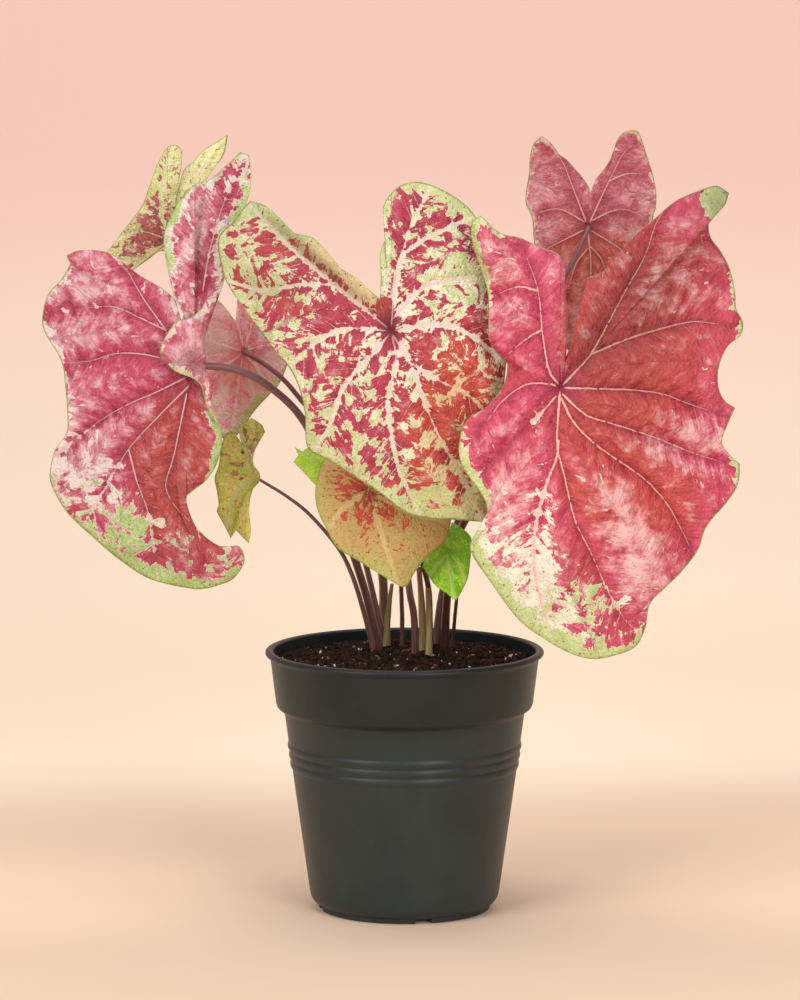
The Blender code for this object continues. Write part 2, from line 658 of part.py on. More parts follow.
def spline(points, samples):
    """Points along a smooth curve through the given ones."""
    ends = [2 * points[0] - points[1], *points, 2 * points[-1] - points[-2]]
    found = []
    for a, b, c, d in zip(ends, ends[1:], ends[2:], ends[3:]):
        for k in range(samples):
            t = k / samples
            square = (2 * a - 5 * b + 4 * c - d) * t ** 2
            cube = (3 * b - a - 3 * c + d) * t ** 3
            found.append(0.5 * (2 * b + (c - a) * t + square + cube))
    found.append(points[-1])
    return found


def tube(name, route, radii, group, finish=None):
    """A round rod along a route, with its own radius at each point and filled ends."""
    data = bpy.data.curves.new(name, "CURVE")
    data.dimensions = "3D"
    data.bevel_depth = 1.0
    data.bevel_resolution = 2
    data.use_fill_caps = True
    line = data.splines.new("POLY")
    line.points.add(len(route) - 1)
    for point, place, radius in zip(line.points, route, radii):
        point.co = (*place, 1)
        point.radius = radius
    line.use_smooth = True
    return add_object(name, data, group, finish)


def blade_normal(leaf):
    """The way the blade faces at its joint, on the viewpoint's side."""
    toward = (VIEWPOINT - Vector(leaf.joint)).normalized()
    normal = toward - leaf.lean[0] * ACROSS - leaf.lean[1] * UPWARD
    return normal.normalized()


def stalk_line(leaf):
    """A stalk's points and radii, from the tuber's crown to just under its blade."""
    side = 1 if leaf.stalk_in_front else -1
    normal = side * blade_normal(leaf)
    joint = Vector(leaf.joint)
    soil_point = Vector(leaf.route[0])
    crown = Vector((*CROWN, soil_point.z))
    foot = crown + ROOT_PULL * (soil_point - crown)
    foot.z = TUBER_TOP + GAP
    near = joint + normal * (BLADE_THICKNESS / 2 + GAP)
    upright = foot + Vector((0, 0, ROOT_STRAIGHT))
    through = [upright, *map(Vector, leaf.route), joint + normal * STALK_STRAIGHT]
    line = [foot, *spline(through, STALK_SAMPLES), near]
    base, tip = leaf.stalk
    radii = [base + (tip - base) * (i / (len(line) - 1)) ** STALK_TAPER for i in range(len(line))]
    return line, radii


def blade_point(leaf, step, edge_point, share):
    """A place on the blade, a share of the way from the joint to an edge point."""
    across, up, curl, bend_across, bend_up, bend_toward = (*edge_point, 0, 0, 0)[:6]
    curl -= leaf.arch * (across * across + up * up) * step / leaf.reach
    bow = 4 * share * (1 - share)
    toward = (leaf.lean[0] * across + leaf.lean[1] * up) * share + curl * share ** 2 + bend_toward * bow
    place = Vector(leaf.joint)
    place += step * (across * share + bend_across * bow) * ACROSS
    place += step * (up * share + bend_up * bow) * UPWARD
    return place + step * toward * (VIEWPOINT - place).normalized()


def build_blade(leaf, group):
    """One leaf blade: a fan of veins from the joint out to the edge, given its thickness."""
    step = leaf.reach / max(math.hypot(point[0], point[1]) for point in leaf.edge)
    work = bmesh.new()
    centre = work.verts.new(leaf.joint)
    rings = [
        [work.verts.new(blade_point(leaf, step, point, ring / leaf.rings)) for point in leaf.edge]
        for ring in range(1, leaf.rings + 1)
    ]
    count = len(leaf.edge)
    for i in range(count):
        j = (i + 1) % count
        work.faces.new((centre, rings[0][j], rings[0][i]))
        for inner, outer in zip(rings, rings[1:]):
            work.faces.new((inner[i], inner[j], outer[j]))
            work.faces.new((inner[i], outer[j], outer[i]))
    bmesh.ops.recalc_face_normals(work, faces=work.faces)
    data = bpy.data.meshes.new("blade_" + leaf.name)
    work.to_mesh(data)
    work.free()
    data.shade_smooth()
    finish = material("blade " + leaf.name.replace("_", " "), leaf.colour, 0.5)
    made = add_object("blade_" + leaf.name, data, group, finish)
    solidify = made.modifiers.new("thickness", "SOLIDIFY")
    solidify.thickness = BLADE_THICKNESS
    solidify.offset = 0
    return made


def build_stalk(leaf, group, finish):
    """One leaf stalk."""
    line, radii = stalk_line(leaf)
    return tube("petiole_" + leaf.name, line, radii, group, finish)


def build_sheath(name, group, finish):
    """A papery sheath: a narrow cupped strip that stands in the soil and tapers to its tip."""
    route, (foot_radius, tip_radius) = SHEATHS[name]
    points = [Vector(place) for place in route]
    points.insert(0, points[0] - Vector((0, 0, SHEATH_DEPTH)))
    line = spline(points, STALK_SAMPLES)
    work = bmesh.new()
    rows = []
    for i, place in enumerate(line):
        share = i / (len(line) - 1)
        radius = foot_radius + (tip_radius - foot_radius) * share ** SHEATH_TAPER
        row = []
        for k in range(SHEATH_COLUMNS):
            angle = SHEATH_CUP * (k / (SHEATH_COLUMNS - 1) - 0.5)
            offset = Vector((radius * math.sin(angle), radius * (1 - math.cos(angle)), 0))
            row.append(work.verts.new(place + offset))
        rows.append(row)
    for low, high in zip(rows, rows[1:]):
        for k in range(SHEATH_COLUMNS - 1):
            work.faces.new((low[k], low[k + 1], high[k + 1]))
            work.faces.new((low[k], high[k + 1], high[k]))
    bmesh.ops.recalc_face_normals(work, faces=work.faces)
    data = bpy.data.meshes.new("sheath_" + name)
    work.to_mesh(data)
    work.free()
    made = add_object("sheath_" + name, data, group, finish)
    solidify = made.modifiers.new("thickness", "SOLIDIFY")
    solidify.thickness = SHEATH_THICKNESS
    solidify.offset = 0
    return made


def main():
    clear_scene()
    plant = new_collection(PLANT)
    cutters = new_collection(CUTTERS)
    build_pot(plant, cutters)
    build_soil(plant, cutters)
    build_tuber(plant)
    purple = material("stalk purple", STALK_PURPLE, 0.45)
    olive = material("stalk olive", OLIVE_STALK, 0.5)
    papery = material("sheath", SHEATH_OLIVE, 0.6)
    for leaf in LEAVES:
        build_blade(leaf, plant)
        build_stalk(leaf, plant, olive if leaf is BACK_LEFT else purple)
    for name in SHEATHS:
        build_sheath(name, plant, papery)
    cutters.hide_render = True


main()
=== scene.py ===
"""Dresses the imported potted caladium: leaves, stalks, potting mix, pot and a plain studio.

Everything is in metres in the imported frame. Leaf drawings are in steps, as the leaf looks from the
viewpoint.
"""

import sys

import logging
import math
from collections.abc import Callable
from dataclasses import dataclass, field
from enum import Enum

import bmesh
import bpy
import numpy as np
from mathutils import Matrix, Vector, noise
from mathutils.bvhtree import BVHTree

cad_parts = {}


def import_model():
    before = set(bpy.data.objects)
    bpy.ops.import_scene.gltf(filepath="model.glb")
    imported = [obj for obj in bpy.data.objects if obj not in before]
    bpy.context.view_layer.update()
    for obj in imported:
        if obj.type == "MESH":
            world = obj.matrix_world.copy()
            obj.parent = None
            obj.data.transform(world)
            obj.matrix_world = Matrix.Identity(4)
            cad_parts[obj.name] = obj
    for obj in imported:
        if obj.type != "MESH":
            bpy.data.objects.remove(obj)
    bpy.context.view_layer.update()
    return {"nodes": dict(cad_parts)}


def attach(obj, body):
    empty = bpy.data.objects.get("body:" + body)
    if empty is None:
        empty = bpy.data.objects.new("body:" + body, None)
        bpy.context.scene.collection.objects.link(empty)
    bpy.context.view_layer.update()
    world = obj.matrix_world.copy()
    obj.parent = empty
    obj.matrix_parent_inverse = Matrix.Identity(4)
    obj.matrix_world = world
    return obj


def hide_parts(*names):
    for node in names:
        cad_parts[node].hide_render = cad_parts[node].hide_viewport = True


Profile = list[tuple[float, float]]
Colour = tuple[float, float, float]

log = logging.getLogger("caladium")

MM = 1000

# Pot: outer radii and heights
POT_HEIGHT = 0.160
RIM_RADIUS = 0.085
LIP_HALF_WIDTH = 0.0026
LIP_RISE = 0.0020
LIP_DEPTH = 0.0052
COLLAR_TOP_RADIUS = 0.0814
COLLAR_FOOT_RADIUS = 0.0785
COLLAR_FOOT_HEIGHT = 0.1273
COLLAR_UNDERSIDE = ((0.0777, 0.1250), (0.0756, 0.1234), (0.0736, 0.1217), (0.0731, 0.1198))
BODY_TOP_RADIUS = 0.0732
BODY_TOP_HEIGHT = 0.1205
BODY_WAIST_RADIUS = 0.0677
BODY_WAIST_HEIGHT = 0.0790
BODY_FOOT_RADIUS = 0.0583
BODY_FOOT_HEIGHT = 0.0120
RIB_HEIGHTS = (0.1005, 0.0949, 0.0893)
RIB_RISE = 0.0009
RIB_HALF_WIDTH = 0.0026
WALL = 0.0014
BOTTOM_CORNER = ((0.0575, 0.0078), (0.0560, 0.0052), (0.0541, 0.0037), (0.0528, 0.0033))
INNER_CORNER = (0.0050, 0.0035)
FOOT_RADIUS = 0.0525
FOOT_WALL = 0.0018
FLOOR_RISE = 0.0030
FLOOR_THICKNESS = 0.0016
CENTRE_PAD_RADIUS = 0.0150
DRAFT = 0.0005
DRAIN_RING_RADIUS = 0.0330
DRAIN_RADIUS = 0.0050
DRAIN_COUNT = 6
NOTCH_WIDTH = 0.0100
NOTCH_HEIGHT = 0.0027
NOTCH_COUNT = 4
NOTCH_TURN = math.radians(12.5)
TURN_STEPS = 160
SLIGHT_TURN = math.radians(18)
ON_AXIS = 1e-6

# Soil, tuber and stalks
GAP = 0.0003
SOIL_EDGE_HEIGHT = 0.1515
SOIL_MOUND = 0.0055
SOIL_ROUGHNESS = 0.0012
SOIL_GRAIN = 90.0
CROWN = (0.002, 0.018)
TUBER_TOP = 0.1300
TUBER_RADIUS = 0.0310
TUBER_HEIGHT = 0.0300
TUBER_FLAT_RADIUS = 0.0265
STALK_STRAIGHT = 0.0060
STALK_TAPER = 0.6
ROOT_PULL = 0.85
ROOT_STRAIGHT = 0.0050
SHEATH_THICKNESS = 0.0008
SHEATH_DEPTH = 0.0050
SHEATH_TAPER = 1.5
SHEATH_CUP = math.radians(140)
SHEATH_FRAY = 0.06
SHEATH_WAVES = 21

# The sight line that the leaves are drawn along
VIEWPOINT = np.array((-0.0028, -2.921, 0.636))
SIGHT_PITCH = math.radians(7.5)
ACROSS = np.array((1.0, 0.0, 0.0))
UPWARD = np.array((0.0, math.sin(SIGHT_PITCH), math.cos(SIGHT_PITCH)))
LENS_MM = 174.6
SENSOR_MM = 36.0

# Soft lights: place, width in metres and watts
LIGHTS = {
    "left": ((-2.0, -2.2, 1.5), 1.8, 54.0),
    "right": ((1.25, -2.5, 0.9), 1.3, 40.0),
    "top": ((0.1, -0.3, 2.6), 2.4, 38.0),
    "back": ((0.5, 1.9, 2.1), 1.6, 4.0),
}
LIGHT_COLOUR = (1.0, 0.99, 0.98)
LIGHT_AIM = (0, 0, 0.25)
WORLD_COLOUR = (1.0, 0.98, 0.96, 1)
WORLD_STRENGTH = 0.27

# Drawing of the blades: steps, except where a name says otherwise
FAR = 60.0
FAR_MM = 99.0
MAIN_SPACING = 3.5
SIDE_SPACING = 4.0
SIDE_APART = 4.5
SIDE_SLANT = 0.55
RUN_ON_POINTS = 30
RIB_BREAK = 9
MARGIN_COLUMNS = 44
CREASE_REACH = 13
CREASE_FLOOR = 6
SIDE_CREASE_REACH = 5
SIDE_CREASE_SHARE = 0.32
WAVES = ((70.0, 1.0), (30.0, 0.5), (13.0, 0.22))
SIDE_RIB_WIDTH = 0.4
SIDE_RIB_RISE = 0.35
SIDE_RIB_SHOW = 0.42
EDGE_LESS_PINK = 0.85
EDGE_MORE_GREEN = 0.45


@dataclass(frozen=True)
class Splash:
    """A soft patch of a leaf where its markings change.

    Centre and reach are in steps about the joint, and turn is in degrees. Pink, green, pale, warm,
    edge and dim are added to the leaf's own at the centre and fade out over the reach. The dim share
    darkens the leaf as painted shade over folds and parts turned from the light, and partly as a
    duskier tone; below 0 it is painted light.
    """

    centre: tuple[float, float]
    reach: tuple[float, float]
    turn: float = 0.0
    pink: float = 0.0
    green: float = 0.0
    pale: float = 0.0
    warm: float = 0.0
    edge: float = 0.0
    # Painted shade over folds and turned-away parts, partly a duskier tone; below 0, painted light
    dusk_and_shade: float = 0.0

    def weight(self, across: np.ndarray, up: np.ndarray) -> np.ndarray:
        """How strongly the patch counts at each place.

        Args:
            across: steps to the right of the joint.
            up: steps above the joint.

        Returns:
            A share between 0 and 1 for each place.
        """
        cosine, sine = math.cos(math.radians(self.turn)), math.sin(math.radians(self.turn))
        x, y = across - self.centre[0], up - self.centre[1]
        along = (x * cosine + y * sine) / self.reach[0]
        aside = (y * cosine - x * sine) / self.reach[1]
        return np.exp(-(along**2 + aside**2))


@dataclass(frozen=True)
class LeafPaint:
    """A leaf's colours, the share of it that is pink, and how its markings and veins look."""

    pink: Colour
    warm: Colour
    deep: Colour
    ground: Colour
    green: Colour
    pale: Colour
    vein: Colour
    rim: Colour
    under: Colour
    cover: float = 0.5
    greenness: float = 0.2
    paleness: float = 0.1
    warmth: float = 0.3
    rim_width: float = 1.2
    blotch: float = 1.0
    softness: float = 0.05
    vein_show: float = 0.8
    under_mix: float = 0.5
    edging: float = 0.0
    edge_width: float = 5.0
    vein_band: float = 0.16
    vein_reach: float = 3.0
    mottle: float = 0.3
    tan: Colour = (0.66, 0.42, 0.15)
    heart: float = 0.6
    # Leaf-wide dim share: painted shade, partly a duskier tone
    dusk_and_shade_base: float = 0.0
    splashes: tuple[Splash, ...] = ()


@dataclass(frozen=True)
class Leaf:
    """One leaf: its blade drawn in steps about the stalk's joint, and its stalk's route through the air.

    Each edge point is (across, up, curl, bend across, bend up, bend toward), and zeros at its end may
    be left off. Curl lifts the edge towards the viewpoint, and bend bows the sheet on the way there.
    Arch is how far the farthest edge falls back from a flat sheet, as a share of the reach.
    """

    name: str
    joint: tuple[float, float, float]
    reach: float
    lean: tuple[float, float]
    edge: list[tuple[float, ...]]
    route: list[tuple[float, float, float]]
    stalk: tuple[float, float]
    arch: float = 0.10
    stalk_in_front: bool = False


RIGHT = Leaf(
    name="right",
    joint=(0.0911, -0.0900, 0.3296),
    reach=0.1604,
    lean=(-0.10, -0.27),
    edge=[
        (6, 30, -1), (10, 40, -2), (21, 58, -4), (26, 76, -5), (25, 94, -5), (27, 110, -6), (44, 117, -6),
        (58, 134, -8), (80, 157, -10), (99, 173, -12), (116, 187, -12), (136, 196, -9), (156, 202, -3),
        (169, 195, 5), (164, 182, 5), (150, 170, -3), (150, 152, -9), (161, 136, -14), (170, 118, -16),
        (175, 97, -12), (176, 80, -9), (183, 65, -14), (180, 52, -15), (168, 42, -9), (159, 22, -4),
        (158, 3, -6), (164, -12, -11), (175, -20, -15), (167, -38, -11), (162, -54, -8), (170, -67, -13),
        (180, -76, -18), (178, -96, -19), (167, -114, -14), (147, -138, -10), (138, -162, -14),
        (122, -183, -11), (104, -201, -6), (90, -216, -6), (85, -241, -10), (76, -258, -7), (60, -266, -1),
        (35, -271, 4), (12, -266, 6), (-14, -252, 4), (-41, -232), (-68, -196, -6), (-88, -166, -10),
        (-88, -152, -12), (-76, -136, -14), (-73, -120, -14), (-80, -104, -11), (-97, -80, -7),
        (-101, -58, -6), (-94, -34, -9), (-70, -16, -14), (-56, 4, -14), (-53, 24, -12), (-62, 34, -10),
        (-71, 50, -8), (-71, 80, -10), (-74, 104, -12), (-88, 148, -6), (-88, 168, 3), (-79, 172, 8),
        (-60, 155, -2), (-39, 150, -6), (-20, 141, -6), (-2, 134, -5), (5, 120, -4), (4, 104, -4),
        (7, 78, -3), (7, 52, -2),
    ],
    route=[
        (0.0245, 0.0250, 0.158), (0.0260, 0.0160, 0.188), (0.0300, 0.0050, 0.217),
        (0.0370, -0.0120, 0.241), (0.0600, -0.0400, 0.275), (0.0820, -0.0640, 0.308),
    ],
    stalk=(0.0030, 0.0020),
)

CENTRE = Leaf(
    name="centre",
    joint=(-0.0081, -0.0700, 0.3613),
    reach=0.1254,
    lean=(-0.10, -0.24),
    edge=[
        (-11, 32, -1), (-10, 55, -3), (-11, 76, -5), (-6, 91, -6), (1, 103, -7), (-2, 116, -6),
        (-8, 124, -4), (-2, 135, -4), (9, 145, -7), (24, 149, -9), (40, 146, -10), (57, 138, -12),
        (72, 128, -14), (83, 116, -16), (97, 91, -18), (106, 56, -18), (112, 21, -16), (115, -14, -14),
        (114, -44, -14), (109, -79, -14), (106, -119, -14), (105, -154, -14), (99, -177, -10),
        (93, -191, -6), (79, -190, -9), (54, -188, -11), (28, -186, -12), (10, -178, -10), (-11, -162, -9),
        (-36, -146, -9), (-61, -130, -11), (-79, -121, -13), (-85, -110, -13), (-86, -82, -10),
        (-92, -57, -9), (-101, -38, -10), (-115, -21, -12), (-132, 2, -14), (-149, 25, -16),
        (-164, 48, -18), (-170, 67, -20), (-173, 88, -20), (-169, 99, -19), (-157, 109, -16),
        (-149, 121, -15), (-141, 130, -16), (-126, 125, -14), (-113, 114, -12), (-105, 101, -10),
        (-90, 96, -8), (-78, 93, -7), (-65, 80, -6), (-52, 64, -5), (-35, 53, -4), (-22, 41, -2),
    ],
    route=[
        (0.0064, -0.0080, 0.156), (0.0057, -0.0140, 0.182), (0.0026, -0.0190, 0.201),
        (-0.0010, -0.0210, 0.243), (-0.0035, -0.0260, 0.290), (-0.0060, -0.0430, 0.336),
    ],
    stalk=(0.0026, 0.0017),
)

LEFT = Leaf(
    name="left",
    joint=(-0.1256, -0.0300, 0.3376),
    reach=0.1349,
    lean=(0.10, -0.18),
    arch=0.06,
    edge=[
        (-13, 41, -2), (-11, 50, 2, 3), (-13, 54, 2, 4), (-20, 66, 4, 6), (-24, 80, 5, 5),
        (-29, 104, 7, 5), (-31, 127, 8, 4), (-24, 147, 8, 1), (-15, 163, 7), (-1, 178, 4),
        (17, 185, -8, -7, 0, -6), (29, 196, -2, -4, 0, -3), (45, 211, 4), (54, 208, 6), (56, 186, 8),
        (52, 163, 10), (40, 143, 10), (25, 133, 7), (23, 116, 5), (28, 98, 5), (29, 84, 7),
        (24, 68, 10, -2, 0, 3), (12, 64, 12, 0, 0, 6), (8, 57, 13, 2, 0, 6), (1, 50, 14, 6, 0, 7),
        (-7, 45, 15, 10, 0, 7), (-17, 43, 16, 16, -2, 8), (-24, 36, 17, 20, -3, 8),
        (-30, 26, 18, 23, -4, 8), (-34, 17, 18, 24, -5, 8), (-35, 11, 18, 24, -5, 8),
        (-32, 4, 18, 23, -6, 8), (-26, -2, 18, 21, -6, 8), (-20, -7, 18, 19, -6, 8),
        (-11, -11, 18, 17, -5, 7), (-1, -15, 17, 14, -3, 6), (6, -22, 16, 12, -2, 6),
        (9, -33, 15, 13, -3, 5), (12, -44, 13, 9, -4, 4), (18, -55, 12, 3, -2, 3), (25, -64, 10, 0, 0, 2),
        (27, -78, 8), (24, -92, 8), (19, -105, 8), (11, -116, 6), (1, -124, 4, -2), (-9, -132, 0, -5),
        (-8, -146, 0, -8, -6), (3, -165, 2, -15, -20), (15, -176, 4, -21, -28), (24, -181, 7, -26, -34),
        (33, -183, 12, -32, -46), (41, -181, 16, -36, -52), (47, -185, 18, -38, -50),
        (49, -198, 17, -38, -44), (39, -213, 12, -32, -34), (27, -219, 7, -24, -26),
        (9, -224, 3, -14, -16), (-8, -223, 0, -6, -8), (-45, -214, -4), (-75, -195, -6), (-101, -173, -8),
        (-128, -147, -8), (-143, -120, -8), (-144, -104, -6), (-139, -85, -4), (-128, -69, -2),
        (-127, -50, -2), (-129, -23, -4), (-133, 3, -8), (-147, 27, -12), (-152, 42, -14), (-147, 68, -12),
        (-133, 84, -8), (-124, 100, -4), (-128, 108, -1), (-115, 113, -4), (-91, 112, -6), (-77, 105, -6),
        (-56, 89, -5), (-34, 76, -4), (-21, 65, -3), (-18, 58, -3, -2), (-16, 49, -2),
    ],
    route=[
        (-0.0157, 0.0150, 0.157), (-0.0211, 0.0100, 0.182), (-0.0272, 0.0060, 0.2045),
        (-0.0422, -0.0040, 0.252), (-0.0601, -0.0120, 0.2995), (-0.0840, -0.0170, 0.3243),
        (-0.1049, -0.0200, 0.3337),
    ],
    stalk=(0.0027, 0.0022),
)

MID_LEFT = Leaf(
    name="mid_left",
    joint=(-0.0985, 0.0400, 0.3377),
    reach=0.0560,
    lean=(0.05, 0.02),
    arch=-0.12,
    edge=[
        (-8, 31), (-7, 47), (-4, 67, -2), (11, 77, -4), (28, 62, -5), (41, 32, -5), (46, 7, -5),
        (43, -13, -5), (35, -32, -4), (24, -44, -3), (13, -56, -2), (4, -68, -1), (-6, -82, 1),
        (-15, -90, 2), (-29, -80), (-44, -63, -2), (-54, -38, -3), (-57, -8, -4), (-54, 22, -3),
        (-46, 44, -2), (-30, 52, -1), (-23, 49), (-17, 42), (-11, 34),
    ],
    route=[
        (-0.0120, 0.0300, 0.1574), (-0.0163, 0.0290, 0.1762), (-0.0237, 0.0280, 0.2075),
        (-0.0365, 0.0270, 0.2602), (-0.0542, 0.0260, 0.2974), (-0.0639, 0.0260, 0.3103),
        (-0.0749, 0.0270, 0.3230), (-0.0873, 0.0300, 0.3323),
    ],
    stalk=(0.0022, 0.0014),
    stalk_in_front=True,
)

BACK_LEFT = Leaf(
    name="back_left",
    joint=(-0.1459, 0.0650, 0.4046),
    reach=0.0746,
    lean=(-0.15, -0.10),
    arch=0.06,
    edge=[
        (8, 40), (15, 68, -6), (25, 78, -8, -2), (36, 90, -8, -4), (47, 97, -8, -6), (60, 105, -6, -9),
        (56, 86, -7, -9), (47, 73, -7, -7), (37, 59, -6, -5), (28, 48.5, -4), (24, 34, -2), (24, 16),
        (21, 0), (10, -10), (-3, -11), (-10, -12), (-18, -18), (-33, -29, 1), (-58, -48, 2), (-83, -65, 3),
        (-78, -40), (-63, -15, -1), (-57, -7, -2), (-38, 18, -2), (-25, 36, -2), (-18, 56), (-10, 77, 2),
        (0, 93, 4), (9, 95, 5), (14, 88, 4), (13, 72, 2), (10, 54, 1),
    ],
    route=[
        (-0.0133, 0.0420, 0.1586), (-0.0133, 0.0440, 0.1958), (-0.0201, 0.0500, 0.2324),
        (-0.0325, 0.0560, 0.2753), (-0.0491, 0.0600, 0.3245), (-0.0737, 0.0600, 0.3741),
        (-0.1043, 0.0550, 0.4003), (-0.1300, 0.0540, 0.4060),
    ],
    stalk=(0.0037, 0.0014),
    stalk_in_front=True,
)

BACK_RIGHT = Leaf(
    name="back_right",
    joint=(0.1129, 0.0600, 0.4136),
    reach=0.0917,
    lean=(-0.05, 0.26),
    arch=-0.10,
    edge=[
        (3, 34), (8, 47), (17, 58), (24, 70, -1), (29, 85, -2), (35, 93, -3), (44, 96, -4), (51, 94, -5),
        (55, 83, -5), (60, 67, -5), (65, 51, -4), (68, 35, -4), (68, 20, -4), (65, 8, -4), (62, -19, -4),
        (52, -49, -4), (37, -79, -3), (17, -114, -1), (-5, -149, 2), (-23, -119), (-38, -84, -3),
        (-50, -49, -5), (-54, -17, -5), (-55, -1, -5), (-57, 11, -6), (-62, 22, -7), (-62, 35, -7),
        (-59, 52, -6), (-58, 70, -5), (-54, 83, -4), (-46, 90), (-37, 83, -1), (-29, 72, -1), (-22, 67),
        (-12, 56), (-3, 45),
    ],
    route=[
        (0.0195, 0.0420, 0.1586), (0.0225, 0.0420, 0.1836), (0.0293, 0.0420, 0.2148),
        (0.0323, 0.0420, 0.2316), (0.0526, 0.0430, 0.2767), (0.0710, 0.0440, 0.3198),
        (0.0863, 0.0440, 0.3598), (0.0961, 0.0450, 0.3794), (0.1060, 0.0480, 0.3985),
    ],
    stalk=(0.0028, 0.0014),
    stalk_in_front=True,
)

LOW_LEFT = Leaf(
    name="low_left",
    joint=(-0.0897, 0.0000, 0.2649),
    reach=0.0398,
    lean=(0.30, -0.18),
    arch=0.08,
    edge=[
        (-11, 28), (-17, 41, -1), (-18, 52, -3), (-5, 60, -6, -6), (5, 53, -8, -8), (8, 46, -9, -9),
        (1, 34, -6, -5), (-4, 23, -3, -2), (-3, 13, -1), (3, 4), (2, -4), (-5, -12), (-7, -22, 0, -2),
        (-8, -34, 1, -3), (-6, -52, 2, -5), (-8, -65, 3, -5), (-21, -52, 0, -4), (-26, -60, -7, -4),
        (-32, -48, -7), (-40, -33, -6), (-38, -27, -2), (-40, -12, -1), (-42, 0, -2), (-38, 13, -2),
        (-36, 28, -2), (-32, 42, -2), (-25, 48), (-16, 36, 1),
    ],
    route=[
        (-0.0193, 0.0060, 0.158), (-0.0248, 0.0020, 0.182), (-0.0320, -0.0020, 0.2057),
        (-0.0405, -0.0020, 0.2225), (-0.0574, 0.0010, 0.2420), (-0.0720, 0.0030, 0.2535),
    ],
    stalk=(0.0021, 0.0009),
)

LOW_CENTRE = Leaf(
    name="low_centre",
    joint=(-0.0207, -0.0450, 0.2634),
    reach=0.0609,
    lean=(0.00, -0.20),
    arch=0.08,
    edge=[
        (2, 25), (15, 40, -2), (35, 45, -4), (55, 35, -5), (70, 15, -6), (80, -10, -7), (81, -33, -7),
        (74, -53, -5), (58, -67, -3), (46, -81, -2), (38, -95, -1), (31, -97), (17, -89, -1),
        (-1, -78, -3), (-19, -67, -4), (-33, -58, -5), (-44, -39, -6), (-53, -19, -7), (-55, -3, -7),
        (-53, 11, -6), (-47, 29, -4), (-35, 42, -3), (-20, 45, -2), (-7, 35),
    ],
    route=[
        (0.0156, 0.0200, 0.156), (0.0156, 0.0140, 0.1755), (0.0143, 0.0060, 0.1983),
        (0.0063, -0.0080, 0.2252), (-0.0058, -0.0200, 0.2485), (-0.0150, -0.0300, 0.2590),
    ],
    stalk=(0.0021, 0.0014),
)

LOW_RIGHT = Leaf(
    name="low_right",
    joint=(0.0267, -0.0320, 0.2259),
    reach=0.0315,
    lean=(0.00, -0.42),
    arch=0.14,
    edge=[
        (-5, 6), (-3, 12), (0, 18, -1), (3, 27, -3), (13, 21, -2), (22, 11, -2), (22, -3, -2),
        (21, -13, -2), (19, -28, -1), (14, -40), (7, -52, 2), (-2, -45, 1), (-13, -37), (-20, -28, -1),
        (-27, -18, -3), (-23, -9, -2), (-15, -2), (-9, 4),
    ],
    route=[
        (0.0290, 0.0200, 0.158), (0.0309, 0.0120, 0.179), (0.0319, 0.0000, 0.196),
        (0.0305, -0.0120, 0.2120),
    ],
    stalk=(0.0014, 0.0009),
)

SMALL = Leaf(
    name="small",
    joint=(-0.0479, -0.0280, 0.2757),
    reach=0.0216,
    lean=(0.20, 0.00),
    edge=[
        (-30, 19), (-23, 14), (-15, 19, -1), (0, 25, -2), (18, 18, -3), (25, -2, -3), (15, -20, -3),
        (0, -24, -2), (-11, -17, -1), (-21, -6), (-31, 4, 2), (-26, 11, 1),
    ],
    route=[
        (-0.0016, 0.0260, 0.158), (-0.0016, 0.0240, 0.180), (-0.0040, 0.0180, 0.2117),
        (-0.0150, 0.0060, 0.2437), (-0.0332, -0.0040, 0.2642),
    ],
    stalk=(0.0018, 0.0010),
)

LEAVES = (
    RIGHT, CENTRE, LEFT, MID_LEFT, BACK_LEFT, BACK_RIGHT, LOW_LEFT, LOW_CENTRE, LOW_RIGHT, SMALL,
)

# Sheaths: the middle line from the soil up, and the cup's radius at the foot and at the tip
SHEATHS = {
    "left": (
        [(-0.0112, 0.0230, 0.1565), (-0.0102, 0.0250, 0.1767), (-0.0077, 0.0275, 0.1960)],
        (0.0026, 0.0007),
    ),
    "middle": (
        [(0.0110, 0.0060, 0.1565), (0.0106, 0.0020, 0.1835), (0.0087, -0.0040, 0.2110)],
        (0.0026, 0.0012),
    ),
    "right": (
        [(0.0146, -0.0120, 0.1560), (0.0148, -0.0100, 0.1792), (0.0142, -0.0080, 0.1986)],
        (0.0022, 0.0012),
    ),
}

